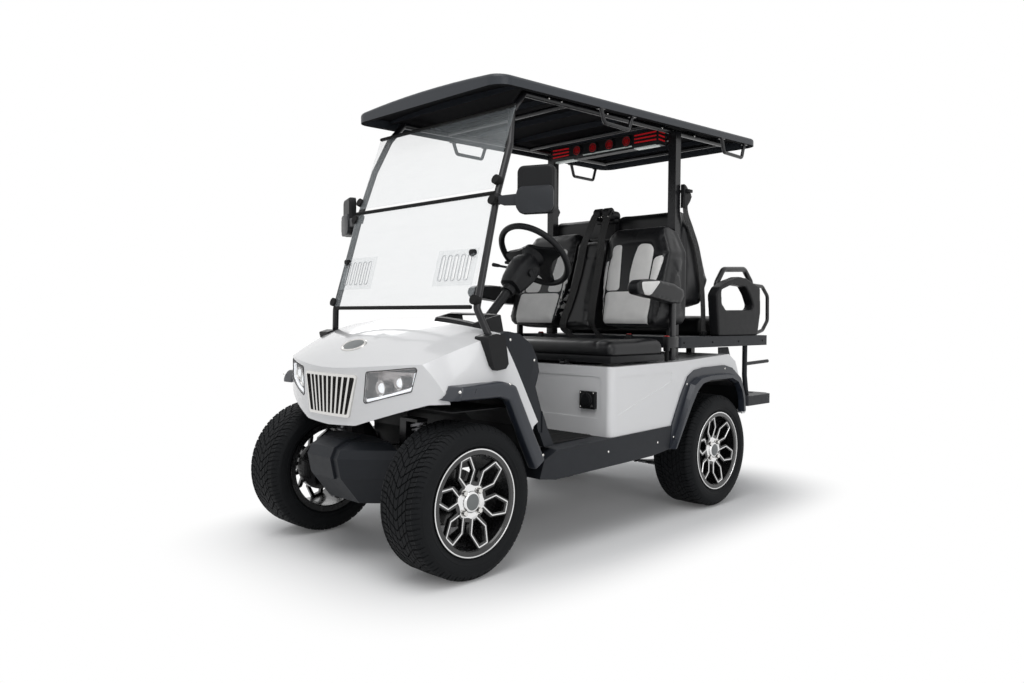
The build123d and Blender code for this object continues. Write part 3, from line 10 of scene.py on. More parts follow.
import bmesh
import bpy
from bpy.props import FloatProperty, FloatVectorProperty, IntProperty, PointerProperty
from mathutils import Matrix, Vector
from mathutils.bvhtree import BVHTree
from mathutils.geometry import convex_hull_2d
from mathutils.kdtree import KDTree


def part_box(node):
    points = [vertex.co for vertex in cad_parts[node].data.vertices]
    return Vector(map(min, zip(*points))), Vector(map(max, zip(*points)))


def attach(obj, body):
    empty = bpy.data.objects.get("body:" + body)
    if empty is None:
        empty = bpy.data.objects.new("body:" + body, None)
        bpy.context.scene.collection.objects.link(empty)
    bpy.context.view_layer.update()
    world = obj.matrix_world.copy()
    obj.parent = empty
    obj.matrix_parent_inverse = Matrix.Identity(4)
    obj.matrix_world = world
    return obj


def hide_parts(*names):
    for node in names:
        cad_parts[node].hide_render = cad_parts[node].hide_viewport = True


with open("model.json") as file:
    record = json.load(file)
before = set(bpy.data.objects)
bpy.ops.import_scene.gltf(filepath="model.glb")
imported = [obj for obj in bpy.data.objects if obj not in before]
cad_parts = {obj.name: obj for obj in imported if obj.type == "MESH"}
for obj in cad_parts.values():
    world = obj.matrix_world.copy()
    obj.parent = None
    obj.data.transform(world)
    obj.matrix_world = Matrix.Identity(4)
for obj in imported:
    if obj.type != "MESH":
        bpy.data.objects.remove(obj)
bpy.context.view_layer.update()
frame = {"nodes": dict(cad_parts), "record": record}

bl_info = {
    "name": "Golf cart dresser",
    "version": (1, 0, 0),
    "blender": (4, 5, 0),
    "location": "3D View > Sidebar > Cart",
    "description": "Builds the cart's tyres, upholstery, trim, finishes and studio round its packed frame",
    "category": "Object",
}


def middle(node):
    """Centre of a node's box."""
    low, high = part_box(node)
    return (Vector(low) + Vector(high)) / 2


AXLE_Y = middle("tyre_front_left").y      # front axle, which the drawings are measured from
TYRE_R = middle("tyre_front_left").z
MM = 0.001
TURN = 2 * math.pi
SIDES = ((1, "left"), (-1, "right"))
SHADOW_BOX = (0.75, 1.3)                  # half width and half length of the shaded floor round the cart
ACROSS = Vector((1, 0, 0))
FORWARD = Vector((0, -1, 0))
BACKWARD = Vector((0, 1, 0))


def at(x, y, z):
    """A point given in millimetres from the front axle and the ground."""
    return Vector((x * MM, AXLE_Y + y * MM, z * MM))


# ---- settings -----------------------------------------------------------------------------
class CartColours(bpy.types.PropertyGroup):
    """Colours that a user would change."""
    body: FloatVectorProperty(name="Body", description="Painted panels", subtype="COLOR",
                              default=(0.83, 0.83, 0.835), min=0, max=1)
    moulding: FloatVectorProperty(name="Moulding", description="Flares, sills, bumper, deck and step",
                                  subtype="COLOR", default=(0.0145, 0.0165, 0.0205), min=0, max=1)
    vinyl: FloatVectorProperty(name="Vinyl", description="Seat covers", subtype="COLOR",
                               default=(0.0066, 0.0069, 0.0080), min=0, max=1)
    insert: FloatVectorProperty(name="Insert", description="Light panels of the seats", subtype="COLOR",
                                default=(0.82, 0.81, 0.79), min=0, max=1)
    lamp_red: FloatVectorProperty(name="Red lamps", description="Lit rings of the sound bar", subtype="COLOR",
                                  default=(0.42, 0.008, 0.012), min=0, max=1)


class CartSizes(bpy.types.PropertyGroup):
    """Sizes of what the frame leaves open."""
    tread_depth: FloatProperty(name="Tread depth", description="Depth of the tyres' grooves", default=0.006,
                               min=0.001, max=0.012, unit="LENGTH")
    tread_pitches: IntProperty(name="Tread pitches", description="Repeats of the tread round a tyre",
                               default=48, min=12, max=120)
    bolt_radius: FloatProperty(name="Bolt head", description="Radius of the trim bolts", default=0.0055,
                               min=0.002, max=0.02, unit="LENGTH")
    belt_width: FloatProperty(name="Belt width", description="Width of the seat belts", default=0.047,
                              min=0.02, max=0.06, unit="LENGTH")
    mat_pitch: FloatProperty(name="Mat ribs", description="Spacing of the floor mat's ribs", default=0.016,
                             min=0.005, max=0.04, unit="LENGTH")


class StageSettings(bpy.types.PropertyGroup):
    """Studio: camera, lamps and floor."""
    lens: FloatProperty(name="Lens", description="Focal length", default=27.57, min=10, max=200,
                        unit="CAMERA")
    eye: FloatVectorProperty(name="Eye", description="Camera's place", subtype="TRANSLATION",
                             default=(2.646, AXLE_Y - 1.917, 0.953))
    yaw: FloatProperty(name="Yaw", description="Turn left from +Y", default=math.radians(44.59),
                       subtype="ANGLE")
    pitch: FloatProperty(name="Pitch", description="Tilt below the horizon", default=math.radians(1.69),
                         subtype="ANGLE")
    roll: FloatProperty(name="Roll", description="Turn about the view", default=math.radians(0.39),
                        subtype="ANGLE")
    key_power: FloatProperty(name="Key lamp", description="Watts of the overhead lamp", default=86, min=0)
    fill_power: FloatProperty(name="Fill lamp", description="Watts of the front lamp", default=36, min=0)
    sky: FloatProperty(name="Sky", description="Strength of the studio's own light", default=0.36, min=0)


# ---- finishes -----------------------------------------------------------------------------
class Field:
    """A number that varies over a surface. Arithmetic on it adds Math nodes."""

    def __init__(self, finish, socket):
        self.finish = finish
        self.socket = socket

    def combine(self, operation, first, second):
        node = self.finish.node("ShaderNodeMath", {"operation": operation}, {0: first, 1: second})
        return Field(self.finish, node.outputs[0])

    def __pow__(self, other):
        return self.combine("POWER", self, other)

    def __add__(self, other):
        return self.combine("ADD", self, other)

    def __radd__(self, other):
        return self.combine("ADD", other, self)

    def __sub__(self, other):
        return self.combine("SUBTRACT", self, other)

    def __mul__(self, other):
        return self.combine("MULTIPLY", self, other)

    def __lt__(self, other):
        return self.combine("LESS_THAN", self, other)

    def __abs__(self):
        return self.combine("ABSOLUTE", self, 0.0)


class NodeTree:
    """Writes nodes into a tree."""

    def __init__(self, tree):
        self.tree = tree

    def node(self, kind, settings=None, values=None):
        """Adds a node: its settings first, then the values or links of its sockets."""
        node = self.tree.nodes.new(kind)
        for key, value in (settings or {}).items():
            setattr(node, key, value)
        for key, value in (values or {}).items():
            value = value.socket if isinstance(value, Field) else value
            if isinstance(value, bpy.types.NodeSocket):
                self.tree.links.new(value, node.inputs[key])
            else:
                node.inputs[key].default_value = value
        return node

    def seen(self):
        """1 for rays that show the background: straight, mirrored or through a clear sheet."""
        rays = self.node("ShaderNodeLightPath")
        return (Field(self, rays.outputs["Is Camera Ray"]) + Field(self, rays.outputs["Is Glossy Ray"])
                + Field(self, rays.outputs["Is Transmission Ray"]))


class Finish(NodeTree):
    """One material, from its shader back to its patterns."""

    def __init__(self, name, **constants):
        self.material = bpy.data.materials.new(name)
        self.material.use_nodes = True
        super().__init__(self.material.node_tree)
        self.tree.nodes.clear()
        self.shader = self.node("ShaderNodeBsdfPrincipled", None,
                                {key.replace("_", " "): value for key, value in constants.items()})
        self.output = self.node("ShaderNodeOutputMaterial", None, {"Surface": self.shader.outputs["BSDF"]})
        self.place = self.node("ShaderNodeTexCoord").outputs["Object"]

    def far_white(self, near, far, glow):
        """Lit studio floor round the cart, plain white from far on, for rays that show the background."""
        lift = self.node("ShaderNodeEmission", None, {"Color": (1.0, 1.0, 1.0, 1.0), "Strength": glow})
        lit = self.node("ShaderNodeAddShader", None, {0: self.shader.outputs["BSDF"], 1: lift.outputs[0]})
        white = self.node("ShaderNodeEmission", None, {"Color": (1.0, 1.0, 1.0, 1.0), "Strength": 1.0})
        wide, long = self.axis("X") * (1 / SHADOW_BOX[0]), self.axis("Y") * (1 / SHADOW_BOX[1])
        reach = (abs(wide) ** 4.0 + abs(long) ** 4.0) ** 0.25
        fade = self.node("ShaderNodeMapRange", {"interpolation_type": "SMOOTHSTEP"},
                         {"Value": reach, "From Min": near, "From Max": far}).outputs["Result"]
        shown = self.node("ShaderNodeMixShader", None, {"Fac": fade, 1: lit.outputs[0], 2: white.outputs[0]})
        mix = self.node("ShaderNodeMixShader", None,
                        {"Fac": self.seen(), 1: self.shader.outputs["BSDF"], 2: shown.outputs[0]})
        self.tree.links.new(mix.outputs[0], self.output.inputs["Surface"])

    def noise(self, size, detail=2.0, roughness=0.5, stretch=None):
        """Noise from 0 to 1 whose blotches are about size metres across."""
        place = self.place
        if stretch:
            place = self.node("ShaderNodeVectorMath", {"operation": "MULTIPLY"},
                              {0: self.place, 1: stretch}).outputs[0]
        node = self.node("ShaderNodeTexNoise", None, {"Vector": place, "Scale": 1 / size, "Detail": detail,
                                                      "Roughness": roughness})
        return Field(self, node.outputs["Fac"])

    def grain(self, size, feature="F1"):
        """Cells of leather or moulded grain, about size metres across."""
        node = self.node("ShaderNodeTexVoronoi", {"feature": feature},
                         {"Vector": self.place, "Scale": 1 / size})
        return Field(self, node.outputs["Distance"])

    def axis(self, letter):
        """One coordinate of the surface, in metres."""
        node = self.node("ShaderNodeSeparateXYZ", None, {0: self.place})
        return Field(self, node.outputs[letter])

    def blend(self, share, first, second):
        """Colour between two colours."""
        node = self.node("ShaderNodeMix", {"data_type": "RGBA"},
                         {0: share, 6: tuple(first) + (1.0,), 7: tuple(second) + (1.0,)})
        return node.outputs[2]

    def feed(self, socket, value):
        """Links a value or a pattern to a socket of the shader."""
        value = value.socket if isinstance(value, Field) else value
        self.tree.links.new(value, self.shader.inputs[socket])

    def tint(self, share, colour, dark, pale):
        """Base colour that wanders between a darker and a paler tone of one colour."""
        self.feed("Base Color", self.blend(share, shade(colour, dark), shade(colour, pale)))

    def bump(self, height, depth):
        """Raises the surface by height times depth metres."""
        node = self.node("ShaderNodeBump", None, {"Height": height, "Distance": depth, "Strength": 1.0})
        self.tree.links.new(node.outputs["Normal"], self.shader.inputs["Normal"])


def shade(colour, factor):
    """A darker or paler tone of a colour."""
    return tuple(min(1.0, channel * factor) for channel in colour)


def gloss_paint(name, colour):
    """Sprayed and lacquered body colour."""
    finish = Finish(name, Coat_Weight=0.6, Coat_Roughness=0.04, IOR=1.5)
    finish.tint(finish.noise(0.35, 2.0), colour, 0.975, 1.02)
    finish.feed("Roughness", 0.20 + finish.noise(0.02, 3.0) * 0.06)
    finish.bump(finish.noise(0.0045, 1.0), 0.00003)
    return finish.material


def moulded_plastic(name, colour, roughness, grain_depth=0.00012, grain_size=0.0014, shine=0.22):
    """Grained black or grey moulding, a little paler where hands and feet rub it."""
    finish = Finish(name, IOR=1.48, Specular_IOR_Level=shine)
    worn = finish.noise(0.09, 4.0, 0.6)
    finish.tint(worn, colour, 0.86, 1.22)
    finish.feed("Roughness", roughness + (finish.noise(0.03, 3.0) - 0.5) * 0.12)
    finish.bump(finish.grain(grain_size) * 0.7 + finish.noise(grain_size * 0.5, 1.0) * 0.3, grain_depth)
    return finish.material


def roof_skin(name, colour, underside_and_shade):
    """Roof moulding: satin outside; faces that look down get a darker, duller shader, partly the plain
    underside and partly painted shade.
    """
    finish = Finish(name, IOR=1.5, Specular_IOR_Level=0.4)
    worn = finish.noise(0.12, 3.0, 0.6)
    finish.tint(worn, colour, 0.9, 1.15)
    finish.feed("Roughness", 0.34 + worn * 0.08)
    finish.bump(finish.grain(0.0022) * 0.7 + finish.noise(0.0011, 1.0) * 0.3, 0.00008)
    # faces that look down get this darker, barely reflective shader: painted shade, partly also the roof's
    # plain underside
    underside_and_shade_shader = finish.node("ShaderNodeBsdfPrincipled", None,
                       {"Base Color": tuple(underside_and_shade) + (1.0,), "Roughness": 0.8, "IOR": 1.12,
                        "Specular IOR Level": 0.2})
    normal = finish.node("ShaderNodeNewGeometry").outputs["Normal"]
    rise = Field(finish, finish.node("ShaderNodeSeparateXYZ", None, {0: normal}).outputs["Z"])
    mix = finish.node("ShaderNodeMixShader", None,
                      {"Fac": rise < -0.3, 1: finish.shader.outputs["BSDF"], 2: underside_and_shade_shader.outputs["BSDF"]})
    finish.tree.links.new(mix.outputs[0], finish.output.inputs["Surface"])
    return finish.material


def powder_coat(name, colour, roughness):
    """Black powder coat on steel tube."""
    finish = Finish(name, IOR=1.5, Specular_IOR_Level=0.3, Coat_Weight=0.18, Coat_Roughness=0.12)
    finish.tint(finish.noise(0.05, 3.0), colour, 0.8, 1.25)
    finish.feed("Roughness", roughness + finish.noise(0.015, 2.0) * 0.1)
    finish.bump(finish.noise(0.0018, 2.0), 0.00006)
    return finish.material


def clear_sheet(name, colour, alpha):
    """Clear polycarbonate, faintly marked by wiping."""
    finish = Finish(name, IOR=1.58, Specular_IOR_Level=0.6)
    wiped = finish.noise(0.12, 3.0, 0.6, stretch=(1.0, 1.0, 4.0))
    finish.tint(wiped, colour, 0.94, 1.0)
    finish.feed("Roughness", 0.02 + wiped * 0.05)
    finish.feed("Alpha", alpha + (wiped - 0.5) * (alpha * 0.3))
    return finish.material


def polished_metal(name, colour, roughness, brushed=0.0):
    """Chrome or machined alloy."""
    finish = Finish(name, Metallic=1.0)
    finish.tint(finish.noise(0.03, 3.0), colour, 0.92, 1.04)
    finish.feed("Roughness", roughness + finish.noise(0.006, 3.0) * 0.08)
    if brushed:
        finish.bump(finish.noise(0.0012, 2.0, stretch=(8.0, 1.0, 1.0)), brushed)
    return finish.material


def vinyl(name, colour, roughness=0.35, depth=0.00020):
    """Upholstery vinyl with a leather grain."""
    finish = Finish(name, IOR=1.5, Specular_IOR_Level=0.34, Sheen_Weight=0.02, Sheen_Roughness=0.5)
    rubbed = finish.noise(0.06, 4.0, 0.55)
    finish.tint(rubbed, colour, 0.88, 1.12)
    finish.feed("Roughness", roughness + (rubbed - 0.5) * 0.14)
    grain = finish.grain(0.0021, "DISTANCE_TO_EDGE")
    finish.bump(grain * 0.8 + finish.noise(0.0007, 2.0) * 0.25, depth)
    return finish.material


def tyre_rubber(name, colour):
    """Matt rubber, dusty in places."""
    finish = Finish(name, IOR=1.45, Specular_IOR_Level=0.15)
    dust = finish.noise(0.04, 4.0, 0.6)
    finish.tint(dust, colour, 0.82, 1.35)
    finish.feed("Roughness", 0.56 + dust * 0.16)
    finish.bump(finish.noise(0.0011, 3.0), 0.00018)
    return finish.material


def webbing(name, colour):
    """Woven belt: fine ribs along its run."""
    finish = Finish(name, Sheen_Weight=0.25, Sheen_Roughness=0.4, IOR=1.4)
    weave = finish.node("ShaderNodeTexWave", {"wave_type": "BANDS", "bands_direction": "DIAGONAL"},
                        {"Vector": finish.place, "Scale": 420.0, "Distortion": 0.4})
    ribs = Field(finish, weave.outputs["Fac"])
    finish.tint(ribs, colour, 0.6, 1.4)
    finish.feed("Roughness", 0.62 + ribs * 0.2)
    finish.bump(ribs, 0.00025)
    return finish.material


def lamp_glow(name, colour, strength):
    """Lit plastic of a lamp."""
    finish = Finish(name, IOR=1.5, Emission_Strength=strength)
    dots = finish.grain(0.006)
    finish.tint(dots, colour, 0.7, 1.0)
    finish.feed("Emission Color", finish.blend(dots, colour, shade(colour, 0.55)))
    finish.feed("Roughness", 0.16 + dots * 0.2)
    return finish.material


def gloss_alloy(name, colour):
    """Gloss black cast alloy."""
    finish = Finish(name, IOR=1.5, Coat_Weight=0.5, Coat_Roughness=0.05)
    cloud = finish.noise(0.03, 3.0)
    finish.tint(cloud, colour, 0.8, 1.3)
    finish.feed("Roughness", 0.22 + cloud * 0.1)
    finish.bump(finish.noise(0.002, 1.0), 0.00003)
    return finish.material


FINISHES = {}


def make_finishes(colours):
    """One finish for each of the record's slots, and those of the added pieces."""
    FINISHES.update({
        "body_white": gloss_paint("body_white_gloss", colours.body),
        "charcoal_moulding": moulded_plastic("charcoal_moulding_satin", colours.moulding, 0.44),
        "black_plastic": moulded_plastic("black_plastic_grained", (0.0085, 0.0088, 0.0098), 0.46),
        # the roof's darker second colour, on faces that look down, is partly painted shade
        "roof_black": roof_skin("roof_black_satin", (0.026, 0.030, 0.037), (0.010, 0.010, 0.011)),
        "frame_black": powder_coat("frame_black_coat", (0.010, 0.010, 0.0115), 0.24),
        "clear_screen": clear_sheet("screen_polycarbonate", (0.80, 0.86, 0.88), 0.13),
        "lamp_lens": clear_sheet("lamp_lens_clear", (0.90, 0.93, 0.95), 0.14),
        "lamp_reflector": polished_metal("lamp_reflector_chrome", (0.42, 0.39, 0.385), 0.16),
        "bright_metal": polished_metal("grille_chrome", (0.70, 0.69, 0.67), 0.14),
        "seat_vinyl": vinyl("seat_vinyl_black", colours.vinyl),
        "tyre": tyre_rubber("tyre_rubber_black", (0.0085, 0.0092, 0.0102)),
        "wheel_alloy": gloss_alloy("wheel_alloy_gloss_black", (0.006, 0.006, 0.0065)),
        "rubber": tyre_rubber("mount_rubber", (0.012, 0.012, 0.012)),
        "red_lens": lamp_glow("red_lens_moulded", (0.42, 0.006, 0.008), 0.05),
        "battery_case": moulded_plastic("battery_case_grey", (0.05, 0.055, 0.06), 0.5),
        "bare_steel": polished_metal("bare_steel_dull", (0.20, 0.20, 0.21), 0.40),
        "insert_vinyl": vinyl("insert_vinyl_grey", colours.insert, 0.46, 0.00014),
        "machined": polished_metal("wheel_machined_bright", (0.82, 0.82, 0.82), 0.13),
        "webbing": webbing("belt_webbing_black", (0.010, 0.010, 0.010)),
        "buckle_red": lamp_glow("buckle_button_red", (0.60, 0.015, 0.012), 0.0),
        "red_glow": lamp_glow("sound_bar_red_light", colours.lamp_red, 0.55),
        "red_dim": lamp_glow("sound_bar_ring_light", shade(colours.lamp_red, 0.62), 0.24),
        "white_glow": lamp_glow("daylight_strip", (0.95, 0.97, 1.0), 0.85),
        "bar_white": lamp_glow("sound_bar_white_lamp", (0.55, 0.60, 0.58), 0.25),
        # the flares' finish is glossier than the other mouldings; its paler, bluer colour is a painted sheen
        "flare_gloss_painted_sheen": moulded_plastic("wheel_flare_gloss_painted_sheen", (0.017, 0.021, 0.030), 0.30, 0.00008, shine=0.58),
        "mirror_case": moulded_plastic("mirror_case_satin", (0.034, 0.036, 0.040), 0.40),
        "mirror_glass": polished_metal("mirror_glass_silvered", (0.72, 0.74, 0.76), 0.02),
        "cap_grey": moulded_plastic("wheel_cap_grey", (0.20, 0.21, 0.21), 0.38, 0.00003),
        "screen_print": moulded_plastic("louvre_white_print", (0.62, 0.63, 0.64), 0.45, 0.00002),
    })


# ---- making of meshes ---------------------------------------------------------------------
def object_from(bm, name):
    """Puts a bmesh into the scene as an object."""
    mesh = bpy.data.meshes.new(name)
    bm.to_mesh(mesh)
    bm.free()
    made = bpy.data.objects.new(name, mesh)
    bpy.context.collection.objects.link(made)
    return made


def dress(piece, finish, body):
    """Shades a piece smooth, gives it its finish and sets it on a body."""
    for face in piece.data.polygons:
        face.use_smooth = True
    piece.data.materials.append(FINISHES[finish])
    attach(piece, body)


def flat(points):
    """A flat outline given in millimetres."""
    return [Vector((u * MM, v * MM)) for u, v in points]


def ramp(value, start, run):
    """0 up to start, then rising to 1 over run."""
    return min(1.0, max(0.0, (value - start) / run))


def point_tree(points):
    """Search tree over single points."""
    tree = KDTree(len(points))
    for i, point in enumerate(points):
        tree.insert(point, i)
    tree.balance()
    return tree


def piece_from(bm, name, finish, body="body", sharp=35.0):
    """Turns a bmesh into a piece that rides on a body; edges past sharp degrees stay hard."""
    bmesh.ops.recalc_face_normals(bm, faces=bm.faces[:])
    piece = object_from(bm, name)
    dress(piece, finish, body)
    piece.data.set_sharp_from_angle(angle=math.radians(sharp))
    return piece


def across(axis):
    """Two directions square to an axis and to each other."""
    axis = Vector(axis).normalized()
    helper = Vector((0, 0, 1)) if abs(axis.z) < 0.9 else Vector((0, 1, 0))
    first = axis.cross(helper).normalized()
    return axis, first, axis.cross(first).normalized()


def circle(centre, first, second, count, start=0.0):
    """Points round a centre, from the tip of first towards the tip of second."""
    turns = [start + TURN * i / count for i in range(count)]
    return [Vector(centre) + first * math.cos(turn) + second * math.sin(turn) for turn in turns]


def skin(bm, rings, closed_run=False):
    """Skins a run of equal rings of points; a run that isn't closed gets a cap at each end."""
    rings = [[bm.verts.new(point) for point in ring] for ring in rings]
    faces = []
    for j in range(len(rings) if closed_run else len(rings) - 1):
        ring, after = rings[j], rings[(j + 1) % len(rings)]
        for i in range(len(ring)):
            k = (i + 1) % len(ring)
            faces.append(bm.faces.new((ring[i], ring[k], after[k], after[i])))
    if not closed_run:
        faces.append(bm.faces.new(list(reversed(rings[0]))))
        faces.append(bm.faces.new(rings[-1]))
    return faces


def lathe(bm, centre, axis, profile, steps=24, start=0.0):
    """Turned form: profile is (distance along the axis, radius). It is closed at both ends."""
    axis, first, second = across(axis)
    rings = []
    for along, radius in profile:
        radius = max(radius, 1e-5)
        rings.append(circle(Vector(centre) + axis * along, first * radius, second * radius, steps, start))
    return skin(bm, rings)


def box(bm, low, high, soft=0.0, segments=2):
    """Block between two corners, its edges rounded by soft."""
    made = bmesh.ops.create_cube(bm, size=1.0)["verts"]
    for vert in made:
        vert.co = Vector(((low[i] + high[i]) / 2 + vert.co[i] * (high[i] - low[i]) for i in range(3)))
    if soft:
        edges = list({edge for vert in made for edge in vert.link_edges})
        bmesh.ops.bevel(bm, geom=edges, offset=soft, segments=segments, profile=0.5, affect="EDGES")


def prism(bm, points, push, soft=0.0, segments=2):
    """Plate with the outline of the points, pushed along a vector, its rim edges rounded."""
    points = [Vector(point) for point in points]
    faces = skin(bm, [points, [point + Vector(push) for point in points]])
    if soft:
        edges = list({edge for face in faces[-2:] for edge in face.edges})
        bmesh.ops.bevel(bm, geom=edges, offset=soft, segments=segments, profile=0.5, affect="EDGES")


def smooth_path(points, spacing):
    """Points of a smooth line through the given ones, about spacing apart."""
    points = [Vector(point) for point in points]
    ends = [points[0] * 2 - points[1]] + points + [points[-1] * 2 - points[-2]]
    path = []
    for i in range(1, len(ends) - 2):
        a, b, c, d = ends[i - 1:i + 3]
        count = max(2, int((c - b).length / spacing))
        for j in range(count):
            t = j / count
            path.append(0.5 * (2 * b + (c - a) * t + (2 * a - 5 * b + 4 * c - d) * t * t
                               + (3 * b - a - 3 * c + d) * t * t * t))
    path.append(points[-1])
    return path


def tube(bm, path, radius, sides=8, closed=False):
    """Round bar along a path."""
    path = [Vector(point) for point in path]
    rings = []
    lean = None
    for i, point in enumerate(path):
        before = path[i - 1] if (i or closed) else point
        after = path[(i + 1) % len(path)] if (i < len(path) - 1 or closed) else point
        along = (after - before).normalized()
        if lean is None:
            lean = across(along)[1]
        lean = (lean - along * lean.dot(along)).normalized()
        rings.append(circle(point, lean * radius, along.cross(lean) * radius, sides))
    skin(bm, rings, closed)


def strap(bm, path, wide, thick, facing):
    """Flat belt along a path; facing is the direction its face looks."""
    path = [Vector(point) for point in path]
    rings = []
    for i, point in enumerate(path):
        along = (path[min(i + 1, len(path) - 1)] - path[max(i - 1, 0)]).normalized()
        look = Vector(facing)
        look = (look - along * look.dot(along)).normalized()
        side = along.cross(look) * (wide / 2)
        up = look * (thick / 2)
        rings.append([point + side + up, point - side + up, point - side - up, point + side - up])
    skin(bm, rings)


def bolt(bm, place, look, radius):
    """Button-head bolt with a socket, standing on a face that looks one way."""
    height = radius * 0.62
    profile = [(-0.002, radius * 0.96), (0.0, radius), (height * 0.45, radius * 0.97),
               (height * 0.85, radius * 0.74), (height, radius * 0.46), (height, radius * 0.40),
               (height * 0.45, radius * 0.36), (height * 0.45, 0.0)]
    lathe(bm, place, look, profile, steps=12)


def node_surface(*names):
    """Search tree over the solids of some nodes."""
    verts, faces = [], []
    for name in names:
        mesh = frame["nodes"][name].data
        shift = len(verts)
        verts += [tuple(vert.co) for vert in mesh.vertices]
        faces += [tuple(shift + i for i in face.vertices) for face in mesh.polygons]
    return BVHTree.FromPolygons(verts, faces)


def land(tree, start, direction):
    """Where a line from start meets a surface: (place, normal looking back), or None."""
    place, normal, _, _ = tree.ray_cast(Vector(start), Vector(direction).normalized())
    if place is None:
        return None
    return place, -normal if normal.dot(Vector(direction)) > 0 else normal


def meet(tree, start, direction, what):
    """As land, for something that has to be there."""
    hit = land(tree, start, direction)
    if hit is None:
        raise RuntimeError(f"{what} was not found")
    return hit


# ---- operators ----------------------------------------------------------------------------
# nodes whose moulding is glossier than the rest of its slot; its colour, paler and bluer, is a painted sheen
NODE_FINISHES = {"rear_flares": "flare_gloss_painted_sheen"}


class CART_OT_finishes(bpy.types.Operator):
    """Gives each node of the frame the finish of its slot"""
    bl_idname = "cart.finishes"
    bl_label = "Finishes"

    def execute(self, context):
        make_finishes(context.scene.cart_colours)
        slots = {entry["node"]: entry["material_slot"] for entry in frame["record"]["subparts"]}
        for name, node in frame["nodes"].items():
            if name not in slots:
                raise RuntimeError(f"no material slot for {name}")
            for place in node.material_slots:
                place.material = FINISHES[NODE_FINISHES.get(name, slots[name])]
        return {"FINISHED"}


class CART_OT_stage(bpy.types.Operator):
    """Builds the floor, the lamps and the camera"""
    bl_idname = "cart.stage"
    bl_label = "Stage"

    def execute(self, context):
        scene = context.scene
        settings = scene.cart_stage
        self.floor()
        self.world(scene, settings)
        self.lamp("key_lamp", (1.4, -2.2, 4.6), (0, 0, 0.6), (3.2, 3.2), settings.key_power)
        self.lamp("fill_lamp", (4.6, -1.6, 1.9), (0, -0.2, 0.8), (2.4, 2.4), settings.fill_power)
        self.lamp("rim_lamp", (-3.6, 1.6, 3.0), (0, 0, 1.0), (2.2, 1.6), settings.fill_power * 0.8)
        self.camera(scene, settings)
        scene.view_settings.view_transform = "Standard"
        return {"FINISHED"}

    def floor(self):
        """Pale floor with the cart's shadow, white further off."""
        bm = bmesh.new()
        bmesh.ops.create_grid(bm, x_segments=1, y_segments=1, size=60.0)
        floor = object_from(bm, "studio_floor")
        finish = Finish("studio_floor_white", Roughness=0.9, Specular_IOR_Level=0.0)
        cloud = finish.noise(5.0, 1.0)
        finish.feed("Base Color", finish.blend(cloud, (0.92, 0.92, 0.92), (0.915, 0.915, 0.915)))
        finish.far_white(near=0.9, far=1.42, glow=0.05)
        floor.data.materials.append(finish.material)

    def world(self, scene, settings):
        """Soft light from all round, seen as plain white."""
        world = bpy.data.worlds.new("studio_sky")
        world.use_nodes = True
        scene.world = world
        sky = NodeTree(world.node_tree)
        sky.tree.nodes.clear()
        dim = sky.node("ShaderNodeBackground", None,
                       {"Color": (0.95, 0.97, 1.0, 1.0), "Strength": settings.sky})
        white = sky.node("ShaderNodeBackground", None, {"Color": (1.0, 1.0, 1.0, 1.0), "Strength": 1.0})
        mix = sky.node("ShaderNodeMixShader", None,
                       {"Fac": sky.seen(), 1: dim.outputs[0], 2: white.outputs[0]})
        sky.node("ShaderNodeOutputWorld", None, {"Surface": mix.outputs[0]})

    def lamp(self, name, place, target, size, power):
        """A rectangular lamp, its size and watts given, aimed at a target."""
        data = bpy.data.lights.new(name, "AREA")
        data.shape = "RECTANGLE"
        data.size, data.size_y = size
        data.energy = power
        lamp = bpy.data.objects.new(name, data)
        lamp.location = place
        lamp.rotation_euler = (Vector(target) - Vector(place)).to_track_quat("-Z", "Y").to_euler()
        bpy.context.collection.objects.link(lamp)

    def camera(self, scene, settings):
        """The camera, from its place and the three angles of its view."""
        data = bpy.data.cameras.new("photo_camera")
        data.sensor_width = 36.0
        data.lens = settings.lens
        data.clip_end = 200.0
        camera = bpy.data.objects.new("photo_camera", data)
        yaw, pitch, roll = settings.yaw, settings.pitch, settings.roll
        level = Vector((-math.sin(yaw), math.cos(yaw), 0)) * math.cos(pitch)
        forward = level - Vector((0, 0, math.sin(pitch)))
        side = forward.cross(Vector((0, 0, 1))).normalized()
        rise = side.cross(forward)
        right = side * math.cos(roll) + rise * math.sin(roll)
        up = rise * math.cos(roll) - side * math.sin(roll)
        turn = Matrix((right, up, -forward)).transposed().to_4x4()
        camera.matrix_world = Matrix.Translation(Vector(settings.eye)) @ turn
        bpy.context.collection.objects.link(camera)
        scene.camera = camera


WHEELS = {                     # ending of the tyre's node: (body, side)
    "front_left": ("front_left_wheel", 1),
    "front_right": ("front_right_wheel", -1),
    "rear_left": ("rear_left_wheel", 1),
    "rear_right": ("rear_right_wheel", -1),
}
BEAD_R = 0.1842                # where the wall meets the rim
# section of a tyre's wall down to the rim: x, radius
SIDEWALL = ((0.0845, 0.2838), (0.0915, 0.2815), (0.098, 0.2765), (0.1042, 0.2685), (0.1082, 0.262),
            (0.1112, 0.2575), (0.1112, 0.2560), (0.1130, 0.2540), (0.1143, 0.2440), (0.1148, 0.2360),
            (0.1143, 0.2290), (0.1132, 0.2240), (0.1137, 0.2230), (0.1137, 0.2215), (0.1105, 0.2180),
            (0.1080, 0.2105), (0.1080, 0.2085), (0.1040, 0.2050), (0.0995, 0.2015), (0.0970, 0.1960),
            (0.0960, BEAD_R))
